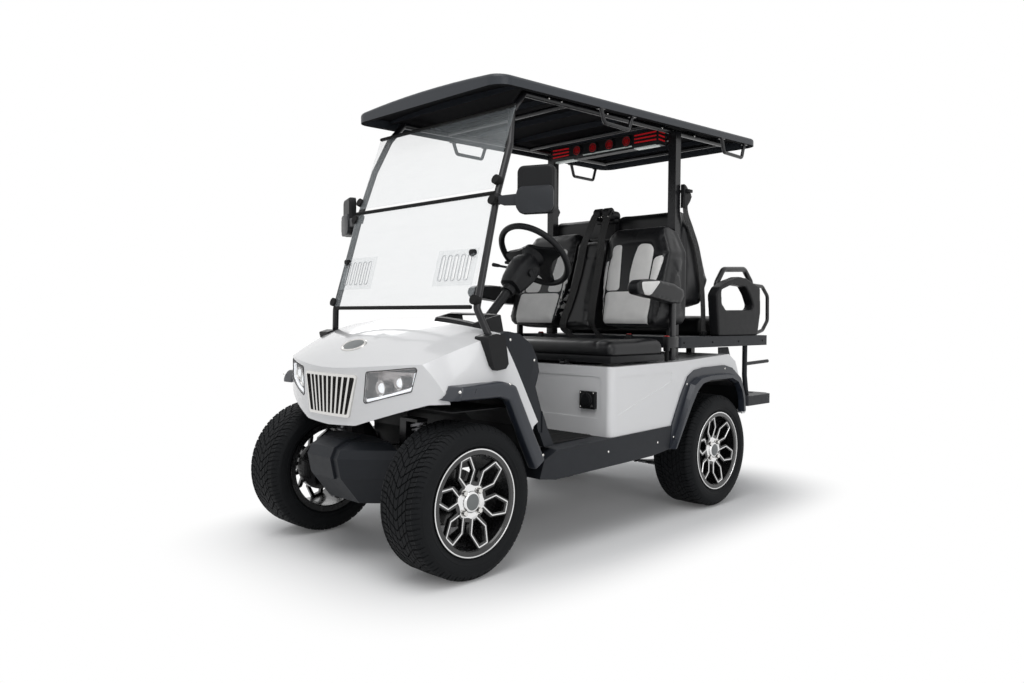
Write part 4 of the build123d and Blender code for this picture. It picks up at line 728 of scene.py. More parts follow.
# ribs of the tread across its half width: from, to
RIBS = ((0.0, 0.0105), (0.0145, 0.0345), (0.0385, 0.0520))
GROOVE = (0.0006, 0.0034)      # where a groove's floor starts and ends past its rib
SHOULDER = (0.0560, 0.068, 0.078)
CROWN_DROP = 0.0002            # how far the tread's middle stays inside the solid tyre
CROWN_FALL = 8.0               # roundness of the tread across its width
MIDDLE_CUT = 0.85              # depth share of the cross cuts in the middle ribs
EDGE_CUT = 0.75                # depth share of the shoulder's cuts where they run out on the wall
EDGE_POINTS = 4                # points of the wall that those cuts still reach
# one pitch of the tread: share of the pitch, depth of the cross cut, depth of the shoulder's own thin cut
PITCH = ((0.00, 0.0, 0.0), (0.36, 0.0, 0.0), (0.385, 0.0, 0.55), (0.425, 0.0, 0.55), (0.45, 0.0, 0.0),
         (0.80, 0.0, 0.0), (0.835, 1.0, 0.9), (0.965, 1.0, 0.9))
LEAN_MIDDLE = 0.85             # how far the cuts trail per metre across the middle ribs
LEAN_SHOULDER = 0.28           # and across the shoulder, as far as LEAN_END
LEAN_END = 0.1


class CART_OT_tyres(bpy.types.Operator):
    """Builds the four tyres with their arrow tread and ringed walls"""
    bl_idname = "cart.tyres"
    bl_label = "Tyres"

    def execute(self, context):
        sizes = context.scene.cart_sizes
        for name, (body, _) in WHEELS.items():
            tyre = self.tyre(f"tread_{name}", middle(f"tyre_{name}"), body, sizes)
            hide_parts(f"tyre_{name}")
        return {"FINISHED"}

    @staticmethod
    def stations():
        """Half section of the tread from the middle outwards: x, groove depth share, kind of cross cut."""
        half = []
        for start, end in RIBS:
            half += [(start, 0.0, "middle"), (end, 0.0, "middle")]
            half += [(end + past, 1.0, "groove") for past in GROOVE]
        return half + [(x, 0.0, "shoulder") for x in SHOULDER]

    def tyre(self, name, centre, body, sizes):
        """Tread and walls of one tyre, the section repeated round the axle."""
        bm = bmesh.new()
        half = [(x, TYRE_R - CROWN_DROP - CROWN_FALL * (x ** 3), groove, kind)
                for x, groove, kind in self.stations()]
        half += [(x, radius, 0.0, "edge") for x, radius in SIDEWALL[:EDGE_POINTS]]
        half += [(x, radius, 0.0, "wall") for x, radius in SIDEWALL[EDGE_POINTS:]]
        profile = [(-x, *rest) for x, *rest in reversed(half[1:])] + half
        rings = []
        for i in range(sizes.tread_pitches):
            for share, cut, sipe in PITCH:
                turn = TURN * (i + share) / sizes.tread_pitches
                rings.append([self.point(centre, turn, cut, sipe, station, sizes.tread_depth)
                              for station in profile])
        skin(bm, rings, closed_run=True)
        return piece_from(bm, name, "tyre", body, sharp=28)

    @staticmethod
    def point(centre, turn, cut, sipe, station, tread_depth):
        """A point of the section, turned by the lean of the cuts and sunk by those that cross it."""
        x, radius, groove, kind = station
        reach = abs(x)
        lean = (LEAN_MIDDLE * min(reach, SHOULDER[0])
                + LEAN_SHOULDER * max(0.0, min(reach, LEAN_END) - SHOULDER[0]))
        turn -= lean / TYRE_R
        depth = {"middle": max(groove, cut * MIDDLE_CUT), "shoulder": max(groove, cut, sipe),
                 "edge": max(cut, sipe) * EDGE_CUT}.get(kind, groove)
        radius -= depth * tread_depth
        return centre + Vector((x, radius * math.cos(turn), radius * math.sin(turn)))


FACE_X = 0.076                 # outer face of a wheel's centre, from its middle plane
HUB_R = 0.074
SPOKE_TILT = math.radians(10)
RIM_LIP_X = 0.105
PETALS = 6                     # spoke loops of a wheel
# middle line of a spoke loop: across, out from the axle
LOOP = ((-0.0090, 0.0620), (-0.0370, 0.1120), (-0.0210, 0.1690), (0.0210, 0.1690), (0.0370, 0.1120),
        (0.0090, 0.0620))
PETAL_TURN = math.radians(15)
LOOP_W = 0.0050                # width of the machined line
STUD_R = 0.0508                # circle of the wheel nuts
# section of a spoke's machined edge: share of half its width, height
EDGE_SECTION = ((-1, 0.0002), (-0.8, 0.0014), (0.8, 0.0014), (1, 0.0002))
# section of the machined line on the rim's lip: distance from the lip, radius
LIP_SECTION = ((-0.0006, 0.1918), (0.0008, 0.1924), (0.0008, 0.1966), (-0.0006, 0.1974))
# turned forms of the wheel's middle: distance outwards, radius
BOSS = ((0.0, 0.041), (0.004, 0.0405), (0.0088, 0.036), (0.0098, 0.0335), (0.0098, 0.0302), (0.004, 0.030))
CAP = ((0.004, 0.0296), (0.0108, 0.0292), (0.0122, 0.0262), (0.0126, 0.0))
NUT_SEAT = ((0.0, 0.0148), (0.0026, 0.0146), (0.0030, 0.0118))
NUT = ((0.0, 0.0104), (0.0124, 0.0104), (0.0146, 0.0085), (0.0152, 0.0040), (0.0152, 0.0))
VALVE = ((0.0, 0.0055), (0.012, 0.0045), (0.014, 0.0038), (0.026, 0.0038), (0.028, 0.0030), (0.028, 0.0))


class CART_OT_wheel_trim(bpy.types.Operator):
    """Adds the machined edges, hub plate, cap, nuts and valve to each wheel"""
    bl_idname = "cart.wheel_trim"
    bl_label = "Wheel trim"

    def execute(self, context):
        for name, (body, side) in WHEELS.items():
            centre = middle(f"tyre_{name}")
            self.edges(name, centre, body, side)
            self.hub(name, centre, body, side)
        return {"FINISHED"}

    @staticmethod
    def tilted(side, place, lift):
        """A point on a spoke loop's face, before the loop is turned to its place."""
        run = place.y - (HUB_R - 0.020)
        x = FACE_X - 0.002 + run * math.tan(SPOKE_TILT) + lift
        return Vector((side * x, place.x, place.y))

    def edges(self, name, centre, body, side):
        """Machined line round each spoke loop and along the rim's lip."""
        bm = bmesh.new()
        line = [Vector(point) for point in LOOP]
        for petal in range(PETALS):
            spin = Matrix.Rotation(TURN * petal / PETALS + PETAL_TURN, 3, "X")
            rings = []
            for i, point in enumerate(line):
                before = (point - line[i - 1]).normalized()
                after = (line[(i + 1) % len(line)] - point).normalized()
                bend = (before + after).normalized()
                half = Vector((bend.y, -bend.x)) * (LOOP_W / 2 / max(0.5, before.dot(bend)))
                rings.append([centre + spin @ self.tilted(side, point + half * edge, lift)
                              for edge, lift in EDGE_SECTION])
            skin(bm, rings, closed_run=True)
        self.lip(bm, centre, side)
        piece_from(bm, f"machined_edges_{name}", "machined", body, sharp=40)

    @staticmethod
    def lip(bm, centre, side):
        """Machined line round the rim's lip."""
        steps = 120
        rings = []
        for i in range(steps):
            turn = TURN * i / steps
            out = Vector((0, math.cos(turn), math.sin(turn)))
            rings.append([centre + Vector((side * (RIM_LIP_X + past), 0, 0)) + out * radius
                          for past, radius in LIP_SECTION])
        skin(bm, rings, closed_run=True)

    def hub(self, name, centre, body, side):
        """Waved hub plate with its boss, the cap, four nuts and the valve."""
        out = Vector((side, 0, 0))
        face = centre + out * FACE_X

        bm = bmesh.new()
        points = []
        count = 2 * PETALS * 4
        for i in range(count):
            turn = TURN * i / count
            radius = 0.0575 + 0.0105 * (0.5 + 0.5 * math.cos((turn + PETAL_TURN) * PETALS))
            points.append(face - out * 0.0005 + Vector((0, math.sin(turn), math.cos(turn))) * radius)
        prism(bm, points, out * 0.0018, soft=0.0006)
        lathe(bm, face, out, BOSS, steps=40)
        piece_from(bm, f"hub_plate_{name}", "machined", body, sharp=40)

        bm = bmesh.new()
        lathe(bm, face, out, CAP, steps=40)
        piece_from(bm, f"hub_cap_{name}", "cap_grey", body, sharp=40)

        bm = bmesh.new()
        for i in range(4):
            turn = math.radians(45 + 90 * i)
            place = face + Vector((0, math.cos(turn), math.sin(turn))) * STUD_R
            lathe(bm, place, out, NUT_SEAT)
            lathe(bm, place, out, NUT, steps=6, start=0.3)
        piece_from(bm, f"wheel_nuts_{name}", "bright_metal", body, sharp=30)

        bm = bmesh.new()
        turn = math.radians(200)
        away = Vector((0, math.cos(turn), math.sin(turn)))
        lathe(bm, centre + out * 0.070 + away * 0.1685, out - away * 0.6, VALVE, steps=12)
        piece_from(bm, f"valve_{name}", "rubber", body, sharp=35)


# ---- upholstery ---------------------------------------------------------------------------
VOXEL = 0.0075                 # size of a pad's faces
ARM_VOXEL = 0.005              # that of the thin armrest pads
SOFT_VOXEL = 0.005             # that of rigid mouldings with rounded edges
SWELL_FRAMES = 20              # steps of the cloth solver
# light panels of a front seat back: across and up its sloping face, in millimetres
BACK_PANELS = {
    "inner_finger": ((157, 424), (176, 436), (209, 436), (244, 190), (156, 190), (150, 279)),
    "outer_finger": ((312, 420), (326, 432), (350, 434), (388, 428), (408, 404), (412, 358), (410, 190),
                     (304, 190), (292, 274), (298, 360)),
    "wing": ((421, 356), (474, 370), (462, 282), (446, 214), (440, 190), (419, 190)),
    "lower": ((158, 182), (438, 182), (446, 100), (441, 14), (430, 9), (188, 9), (176, 14)),
    "inner_strip": ((126, 352), (142, 352), (146, 182), (162, 60), (152, 60), (122, 182)),
}
# light panel of a rear seat back, laid out in the same way
REAR_PANEL = ((70, 300), (84, 330), (190, 340), (330, 330), (366, 300), (372, 130), (60, 130))
# front armrest and its light panel: y, z in millimetres
ARMREST = ((988, 1092), (995, 1118), (1020, 1133), (1170, 1138), (1289, 1127), (1370, 1100), (1381, 1068),
           (1350, 1030), (1262, 1033), (1090, 1055), (1003, 1067))
# stays of a front armrest: outer x, y and z of the low corner, y and z of the high one, rounding
ARM_STAYS = ((526, 1339, 753.5, 1375, 1046, 0.003), (545, 1296, 815, 1374, 870, 0.006))
ARM_INLAY = ((1018, 1122), (1166, 1132), (1084, 1061), (1042, 1066), (1019, 1090))
SLOPE = Vector((0, 0.150, 0.495)).normalized()      # up the face of a front seat back
LOOK = Vector((0, 0.957, -0.290)).normalized()      # into it
REAR_SLOPE = Vector((0, -0.335, 0.95)).normalized()  # the same for the rear seat back
REAR_LOOK = Vector((0, -0.95, -0.335)).normalized()
STAND_OFF = 0.1                # how far before a back its panels start
# seams of the front cushion and of a front back, on the left side, in millimetres
CUSHION_SEAMS = (((470, 812, 836), (458, 850, 858), (455, 1030, 860), (458, 1225, 852)),
                 ((548, 826, 852), (562, 816, 825), (566, 814, 790)))
BACK_SEAMS = (((96, 364), (150, 372), (180, 430), (250, 444), (330, 444), (392, 436), (420, 372), (478, 378),
               (520, 372)),
              ((478, 372), (466, 282), (448, 190), (452, 100), (446, 6)))
BACK_REST = (1, AXLE_Y + 1.492, -1)      # flat rear side of the front backs
# each pad: its body, the node it stands for, how far it swells, the side that stays flat (axis, level,
# which way is free), the size of its faces and how full it is
PADS = {
    "front_pad": ("front_cushion_lid", "front_cushion", 0.007, (2, 0.785, 1), VOXEL, 0.8),
    "rear_pad": ("rear_flip_seat", "rear_cushion", 0.006, (2, 0.868, 1), VOXEL, 0.8),
    "back_pad_left": ("body", "seat_back_left", 0.006, BACK_REST, VOXEL, 0.8),
    "back_pad_right": ("body", "seat_back_right", 0.006, BACK_REST, VOXEL, 0.8),
    "console_pad": ("body", "console_back", 0.005, BACK_REST, VOXEL, 0.8),
    "rear_back_pads": ("body", "rear_seat_back", 0.007, (1, AXLE_Y + 1.544, 1), VOXEL, 0.8),
    "armrest_pads": ("body", "front_armrests", 0.003, (2, 1.02, 1), ARM_VOXEL, 0.9),
}


def even_mesh(name, bm, voxel):
    """An object whose mesh follows a closed form with even faces."""
    rough = object_from(bm, name)
    remesh = rough.modifiers.new("even", "REMESH")
    remesh.mode = "VOXEL"
    remesh.voxel_size = voxel
    mesh = bpy.data.meshes.new_from_object(rough.evaluated_get(bpy.context.evaluated_depsgraph_get()))
    bpy.data.objects.remove(rough)
    piece = bpy.data.objects.new(name, mesh)
    bpy.context.collection.objects.link(piece)
    return piece


def soften(mesh, times):
    """Rounds the edges of an even mesh."""
    bm = bmesh.new()
    bm.from_mesh(mesh)
    for _ in range(times):
        bmesh.ops.smooth_vert(bm, verts=bm.verts[:], factor=0.5, use_axis_x=True, use_axis_y=True,
                              use_axis_z=True)
    bm.to_mesh(mesh)
    bm.free()


def moulding(name, bm, times, finish, slot, node):
    """A rigid moulding with rounded edges that stands for a node of the body."""
    piece = even_mesh(name, bm, SOFT_VOXEL)
    soften(piece.data, times)
    dress(piece, finish, "body")
    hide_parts(node)


class Pad:
    """A stuffed form: an even mesh, how far it may swell, and the side that stays flat."""

    def __init__(self, name, bm, cap, rest, voxel):
        self.piece = even_mesh(name, bm, voxel)
        self.cap = cap
        self.rest = rest
        soften(self.piece.data, 4)
        self.start = [vert.co.copy() for vert in self.piece.data.vertices]

    def freedom(self, place):
        """0 on the side that stays flat, 1 from 30 mm off it."""
        axis, level, away = self.rest
        return ramp((place[axis] - level) * away, 0.0, 0.03)

    def settle(self, swollen):
        """Moves the pad towards its swollen places, no further than it may."""
        for vert, start, place in zip(self.piece.data.vertices, self.start, swollen):
            shift = place - start
            if shift.length > self.cap:
                shift = shift.normalized() * self.cap
            vert.co = start + shift * self.freedom(start)

    def press(self, lines, depth, width):
        """Sews a channel along each line of points."""
        mesh = self.piece.data
        normals = [vert.normal.copy() for vert in mesh.vertices]
        for line in lines:
            tree = point_tree(smooth_path(line, width * 0.6))
            for vert, normal in zip(mesh.vertices, normals):
                gap = tree.find(vert.co)[2]
                if gap < width * 2.5:
                    vert.co -= normal * depth * math.exp(-(gap / width) ** 2)

    def finish(self, body, node, fill):
        """Covers the pad, which stands for a node, in vinyl."""
        dress(self.piece, "seat_vinyl", body)
        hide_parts(node)


def swell(pads):
    """Blows the pads up a little, all in one run of the cloth solver."""
    scene = bpy.context.scene
    for pad in pads:
        cloth = pad.piece.modifiers.new("swell", "CLOTH")
        cloth.settings.use_pressure = True
        cloth.settings.uniform_pressure_force = 4.0
        cloth.settings.effector_weights.gravity = 0.0
        cloth.collision_settings.use_collision = False
        cloth.point_cache.frame_end = SWELL_FRAMES
    for step in range(1, SWELL_FRAMES + 1):
        scene.frame_set(step)
    graph = bpy.context.evaluated_depsgraph_get()
    for pad in pads:
        swollen = [vert.co.copy() for vert in pad.piece.evaluated_get(graph).data.vertices]
        pad.piece.modifiers.clear()
        pad.settle(swollen)
    scene.frame_set(1)


def node_form(name):
    """A bmesh of a node's solids."""
    node = frame["nodes"][name]
    bm = bmesh.new()
    bm.from_mesh(node.data)
    bmesh.ops.transform(bm, matrix=node.matrix_world, verts=bm.verts[:])
    bmesh.ops.remove_doubles(bm, verts=bm.verts[:], dist=1e-5)
    return bm


def rounded(points, radius, steps=4):
    """Outline with its corners rounded."""
    corners = [Vector(point) for point in points]
    smooth = []
    for i, corner in enumerate(corners):
        back, ahead = corners[i - 1] - corner, corners[(i + 1) % len(corners)] - corner
        reach = min(radius, back.length * 0.45, ahead.length * 0.45)
        first, last = corner + back.normalized() * reach, corner + ahead.normalized() * reach
        for j in range(steps + 1):
            t = j / steps
            smooth.append(first.lerp(corner, t).lerp(corner.lerp(last, t), t))
    return smooth


def patch(name, tree, shapes, corner, place, look, cell=0.011, puff=0.0035, lift=0.0012):
    """Light panels sewn on a pad: place(u, v) puts the points of their flat shapes before it."""
    bm = bmesh.new()
    for shape in shapes:
        outline = rounded(flat(shape), corner)
        part = bmesh.new()
        part.faces.new([part.verts.new((point.x, point.y, 0)) for point in outline])
        for axis in (0, 1):
            low, high = min(point[axis] for point in outline), max(point[axis] for point in outline)
            count = int((high - low) / cell) + 1
            square = Vector((1 - axis, axis, 0))
            for i in range(1, count):
                bmesh.ops.bisect_plane(part, geom=part.verts[:] + part.edges[:] + part.faces[:],
                                       plane_co=square * (low + (high - low) * i / count), plane_no=square)
        rim = point_tree([vert.co for vert in part.verts if vert.is_boundary])
        moved = []
        for vert in part.verts:
            gap = rim.find(vert.co)[2]
            start = place(vert.co.x, vert.co.y)
            hit = land(tree, start, look) or tree.find_nearest(start + look * STAND_OFF)
            moved.append(hit[0] - look * (lift + puff * (1 - math.exp(-gap / 0.012))))
        for vert, point in zip(part.verts, moved):
            vert.co = point
        border = [edge for edge in part.edges if edge.is_boundary]
        for vert in bmesh.ops.extrude_edge_only(part, edges=border)["geom"]:
            if isinstance(vert, bmesh.types.BMVert):
                vert.co += look * (lift + 0.006)
        mesh = bpy.data.meshes.new(name)
        part.to_mesh(mesh)
        part.free()
        bm.from_mesh(mesh)
        bpy.data.meshes.remove(mesh)
    piece_from(bm, name, "insert_vinyl", sharp=60)


class CART_OT_upholstery(bpy.types.Operator):
    """Sews the cushions, seat backs and armrests"""
    bl_idname = "cart.upholstery"
    bl_label = "Upholstery"

    def execute(self, context):
        pads = {name: Pad(name, self.form(name, node), cap, rest, voxel)
                for name, (_, node, cap, rest, voxel, _) in PADS.items()}
        swell(list(pads.values()))
        self.sew(pads)
        for name, (body, node, _, _, _, fill) in PADS.items():
            pads[name].finish(body, node, fill)
        self.panels(pads)
        self.carriers()
        return {"FINISHED"}

    @staticmethod
    def form(name, node):
        """Form a pad starts from: its node's solid, or its own where the solid leaves it open."""
        if name not in ("front_pad", "rear_pad", "armrest_pads"):
            return node_form(node)
        bm = bmesh.new()
        if name == "front_pad":
            box(bm, at(-565, 810, 784), at(565, 1229, 850), soft=0.030, segments=4)
        elif name == "rear_pad":
            box(bm, at(-421, 1785, 868), at(421, 2255, 968), soft=0.030, segments=4)
        else:
            for side, _ in SIDES:
                outline = [at(side * 509, y, z) for y, z in ARMREST]
                prism(bm, outline, (side * 0.064, 0, 0), soft=0.008, segments=3)
        return bm

    def sew(self, pads):
        """Raises the front cushion's outer ends and presses the seams of the cushions, the front backs and
        the console.
        """
        front = pads["front_pad"]
        for vert in front.piece.data.vertices:
            reach = ramp(abs(vert.co.x), 0.40, 0.10) * ramp(vert.co.y - AXLE_Y, 0.84, 0.26)
            vert.co.z += 0.006 * reach * ramp(vert.co.z, 0.80, 0.05)
        lines = [[at(side * x, y, z) for x, y, z in seam] for side, _ in SIDES for seam in CUSHION_SEAMS]
        lines.append([at(-470, 1020, 858), at(470, 1020, 858)])
        front.press(lines, 0.005, 0.009)
        pads["rear_pad"].press([[at(0, 1786, 960), at(0, 1900, 974), at(0, 2254, 960)]], 0.006, 0.010)
        for side, name in SIDES:
            lines = [[self.on_back(side, x, s) for x, s in seam] for seam in BACK_SEAMS]
            lines.append([at(side * 507, y, 1262) for y in (1368, 1430, 1480)])
            pads[f"back_pad_{name}"].press(lines, 0.0045, 0.008)
        pads["console_pad"].press([[at(-96, 1342, 1278), at(0, 1338, 1278), at(96, 1342, 1278)],
                                   [at(-80, 1240, 940), at(-82, 1335, 1270)],
                                   [at(80, 1240, 940), at(82, 1335, 1270)]], 0.004, 0.008)

    @staticmethod
    def on_back(side, x, s):
        """A point on a front seat back's sloping face, in millimetres."""
        return at(side * x, 1239, 915) + SLOPE * (s * MM)

    def panels(self, pads):
        """Light panels of the front backs, the rear backs and the armrests."""
        graph = bpy.context.evaluated_depsgraph_get()
        trees = {name: BVHTree.FromObject(pad.piece, graph) for name, pad in pads.items()}
        for side, name in SIDES:
            patch(f"back_panels_{name}", trees[f"back_pad_{name}"], BACK_PANELS.values(), 0.022,
                  lambda u, v: self.on_back(side, u / MM, v / MM) - LOOK * STAND_OFF, LOOK)
        for side, name in SIDES:
            patch(f"rear_panels_{name}", trees["rear_back_pads"], [REAR_PANEL], 0.022,
                  lambda u, v: at(side * u / MM, 1842, 1130) + REAR_SLOPE * v - REAR_LOOK * STAND_OFF,
                  REAR_LOOK)
        for side, name in SIDES:
            patch(f"arm_inlay_{name}", trees["armrest_pads"], [ARM_INLAY], 0.012,
                  lambda u, v: at(side * 640, u / MM, v / MM), Vector((-side, 0, 0)),
                  cell=0.008, puff=0.0015, lift=0.0008)

    @staticmethod
    def carriers():
        """Board and hinges of the front cushion, arms of the flip seat and stays of the armrests."""
        bm = bmesh.new()
        box(bm, at(-560, 812, 759), at(560, 1227, 790), soft=0.006)
        for x in (-300, 300):
            for edge in (-17, 17):
                box(bm, at(x + edge - 4, 793, 748.5), at(x + edge + 4, 816, 767), soft=0.0008)
            lathe(bm, at(x - 20, 794, 752), ACROSS, [(0, 0.0035), (0.040, 0.0035)], steps=12)
        piece_from(bm, "front_seat_board", "black_plastic", "front_cushion_lid")
        bm = bmesh.new()
        for x in (-330, 330):
            box(bm, at(x - 14, 2236, 869.5), at(x + 14, 2325, 876.5), soft=0.0015)
            lathe(bm, at(x - 30, 2320, 873), ACROSS, [(0, 0.005), (0.060, 0.005)], steps=16)
        piece_from(bm, "flip_arms", "frame_black", "rear_flip_seat")
        bm = bmesh.new()
        for side, _ in SIDES:
            for outer, y0, z0, y1, z1, soft in ARM_STAYS:
                x0, x1 = sorted((side * 508, side * outer))
                box(bm, at(x0, y0, z0), at(x1, y1, z1), soft=soft)
        piece_from(bm, "armrest_stays", "frame_black")


# ---- belts --------------------------------------------------------------------------------
# front belts, from the reel down to where they dive between console and seat, in millimetres
BELT_A = ((-34, 1470, 1532), (-38, 1440, 1508), (-40, 1396, 1424), (-38, 1350, 1352), (-34, 1304, 1210),
          (-44, 1258, 1066), (-66, 1224, 952), (-74, 1226, 906), (-74, 1262, 880), (-74, 1310, 850),
          (-74, 1345, 790))
BELT_B = ((34, 1470, 1532), (46, 1440, 1500), (58, 1385, 1402), (78, 1348, 1335), (95, 1316, 1250),
          (103, 1282, 1150), (110, 1246, 1040), (112, 1234, 985), (105, 1240, 925), (100, 1290, 885),
          (98, 1330, 850), (98, 1348, 785))
# rear outer belts, from their guide on the post down beside the seat back
BELT_REAR = ((452, 1566, 1606), (453, 1561, 1505), (453, 1620, 1411), (453, 1676, 1320), (453, 1720, 1180),
             (453, 1742, 1020), (453, 1748, 880))
BELT_THICK = 0.0022
# outline of a rear belt's guide: y, z; buckles of a side: x, y, height of the top, in millimetres
GUIDE = ((1541, 1640), (1556, 1636), (1600, 1596), (1612, 1584), (1598, 1558), (1566, 1524), (1541, 1520))
BUCKLES = ((548, 1262, 872), (300, 1300, 878))


class CART_OT_belts(bpy.types.Operator):
    """Runs the seat belts from their reels and stands the buckles beside the seats"""
    bl_idname = "cart.belts"
    bl_label = "Belts"

    def execute(self, context):
        wide = context.scene.cart_sizes.belt_width
        bm = bmesh.new()
        for points in (BELT_A, BELT_B):
            strap(bm, smooth_path([at(*point) for point in points], 0.012), wide, BELT_THICK, (0, -1, 0.3))
        for side, _ in SIDES:
            path = smooth_path([at(side * x, y, z) for x, y, z in BELT_REAR], 0.015)
            strap(bm, path, wide * 0.92, BELT_THICK, (side, 0, 0))
        piece_from(bm, "belts", "webbing", sharp=50)
        self.reels()
        self.guides()
        self.buckles()
        return {"FINISHED"}

    @staticmethod
    def reels():
        """Two reels on their bracket behind the console, with screws."""
        bm = bmesh.new()
        for x in (-31, 31):
            lathe(bm, at(x - 23, 1470, 1524), ACROSS,
                  [(0, 0.020), (0.002, 0.0275), (0.044, 0.0275), (0.046, 0.020)], steps=28)
            box(bm, at(x - 27, 1444, 1488), at(x + 27, 1494, 1516), soft=0.004)
        box(bm, at(-62, 1484, 1470), at(62, 1530, 1492), soft=0.004)
        piece_from(bm, "belt_reels", "black_plastic")
        bm = bmesh.new()
        for x in (-52, -8, 8, 52):
            bolt(bm, at(x, 1441, 1502), (0, -1, 0.2), 0.004)
        piece_from(bm, "reel_screws", "bright_metal")

    @staticmethod
    def guides():
        """Guides of the rear belts on the posts, and their ends beside the seat."""
        bm = bmesh.new()
        for side, _ in SIDES:
            prism(bm, [at(side * 434, y, z) for y, z in GUIDE], (side * 0.026, 0, 0), soft=0.005, segments=3)
            lathe(bm, at(side * 447, 1541, 1592), FORWARD, [(0, 0.009), (0.004, 0.009)], steps=16)
            x = side * BELT_REAR[-1][0]
            box(bm, at(x - 27, 1546, 1598), at(x + 27, 1586, 1614), soft=0.003)
            box(bm, at(x - 14, 1730, 866), at(x + 14, 1768, 892), soft=0.004)
        piece_from(bm, "belt_guides", "black_plastic")

    @staticmethod
    def buckles():
        """Buckles in rubber sleeves with their red buttons."""
        sleeves, bodies, buttons = bmesh.new(), bmesh.new(), bmesh.new()
        for side, _ in SIDES:
            for x, y, top in BUCKLES:
                x *= side
                box(sleeves, at(x - 9, y - 7, 753), at(x + 9, y + 7, 806), soft=0.003)
                box(bodies, at(x - 14, y - 11, 802), at(x + 14, y + 11, top), soft=0.004, segments=3)
                box(buttons, at(x - 11, y - 8, top - 4), at(x + 11, y + 8, top + 3.5), soft=0.002)
        piece_from(sleeves, "buckle_sleeves", "rubber")
        piece_from(bodies, "buckle_bodies", "black_plastic")
        piece_from(buttons, "buckle_buttons", "buckle_red")


# ---- nose ---------------------------------------------------------------------------------
LAMP_BARRELS = ((270, 692, 26.0), (346, 714, 23.0))        # x, z, radius, in millimetres
# turned forms of a barrel: distance forwards, then what is added to its radius or its share of it
LAMP_RING = ((-0.012, 0.003), (0.004, 0.003), (0.005, 0), (-0.001, -0.004), (-0.010, -0.005))
LAMP_EYE = ((-0.009, 0.78), (-0.003, 0.76), (0.002, 0.62), (0.005, 0.36), (0.006, 0))
# daylight strip of a headlamp: along the lower edge, then up the outer one
DAY_STRIP = ((219, 643), (300, 662), (402, 694), (411, 712), (420, 752))
MEDALLION_Z = 0.842
MEDALLION_HALF = (0.070, 0.043)
# the medallion's raised rim: share of its half width and height, height above the cowl
MEDALLION_RIM = ((1.03, -0.004), (1.03, 0.002), (0.97, 0.0048), (0.88, 0.0048), (0.83, 0.0028))


class CART_OT_nose(bpy.types.Operator):
    """Adds the lamps' insides, the dark lines round their lenses and the plain medallion"""
    bl_idname = "cart.nose"
    bl_label = "Nose"

    def execute(self, context):
        cowl = node_surface("front_cowl")
        lens = node_surface("headlamp_lenses")
        self.gaskets(lens)
        self.projectors(lens)
        self.strips(lens)
        self.medallion(cowl)
        return {"FINISHED"}

    @staticmethod
    def on_lens(lens, side, x, z, behind):
        """A point that lies behind the lens's face."""
        return meet(lens, at(side * x, -500, z), BACKWARD, "the lamp's lens")[0] + Vector((0, behind, 0))

    @staticmethod
    def gaskets(lens):
        """Dark line round each headlamp's lens."""
        bm = bmesh.new()
        for side, _ in SIDES:
            seen = [Vector((vert.co.x, vert.co.z)) for vert in frame["nodes"]["headlamp_lenses"].data.vertices
                    if vert.co.x * side > 0]
            outline = [seen[i] for i in convex_hull_2d(seen)]
            centre = sum(outline, Vector((0, 0))) / len(outline)
            points = []
            for i, corner in enumerate(outline):
                after = outline[(i + 1) % len(outline)]
                count = max(1, int((after - corner).length / 0.012))
                for j in range(count):
                    place = corner.lerp(after, j / count)
                    place += (centre - place).normalized() * 0.0015
                    start = Vector((place.x, AXLE_Y - 0.5, place.y))
                    hit = land(lens, start, BACKWARD) or lens.find_nearest(start + Vector((0, 0.3, 0)))
                    points.append(hit[0] - Vector((0, 0.0006, 0)))
            tube(bm, points, 0.0017, sides=6, closed=True)
        piece_from(bm, "lens_gaskets", "black_plastic", sharp=60)

    def projectors(self, lens):
        """Chrome rings and pale eyes of the two barrels in each headlamp."""
        rings, eyes = bmesh.new(), bmesh.new()
        for side, _ in SIDES:
            for x, z, radius in LAMP_BARRELS:
                base = self.on_lens(lens, side, x, z, 0.020)
                size = radius * MM
                lathe(rings, base, FORWARD, [(out, size + more) for out, more in LAMP_RING], steps=36)
                lathe(eyes, base, FORWARD, [(out, size * share) for out, share in LAMP_EYE], steps=28)
        piece_from(rings, "lamp_rings", "bright_metal")
        piece_from(eyes, "lamp_eyes", "white_glow", sharp=60)

    def strips(self, lens):
        """Daylight strip of each headlamp, behind its lens."""
        bm = bmesh.new()
        for side, _ in SIDES:
            points = [self.on_lens(lens, side, x, z, 0.009) for x, z in DAY_STRIP]
            tube(bm, smooth_path(points, 0.008), 0.0060, sides=10)
        piece_from(bm, "daylight_strips", "white_glow", sharp=60)

    @staticmethod
    def medallion(cowl):
        """Plain oval medallion on the cowl: a raised rim and a flat face."""
        centre, normal = land(cowl, (0.0, AXLE_Y - 0.6, MEDALLION_Z), BACKWARD)
        wide = ACROSS * MEDALLION_HALF[0]
        high = (Vector((0, 0, 1)) - normal * normal.z).normalized() * MEDALLION_HALF[1]

        def oval(share, lift):
            return circle(centre + normal * lift, wide * share, high * share, 48)

        rim, disc = bmesh.new(), bmesh.new()
        skin(rim, [oval(share, lift) for share, lift in MEDALLION_RIM])
        piece_from(rim, "medallion", "bright_metal", sharp=40)
        prism(disc, oval(0.82, 0.0022), normal * 0.0014, soft=0.0006)
        piece_from(disc, "medallion_face", "cap_grey", sharp=40)


# ---- sound bar ----------------------------------------------------------------------------
BAR_LAMPS = (-168, -56, 56, 168)
BAR_LAMP_Z = 1882
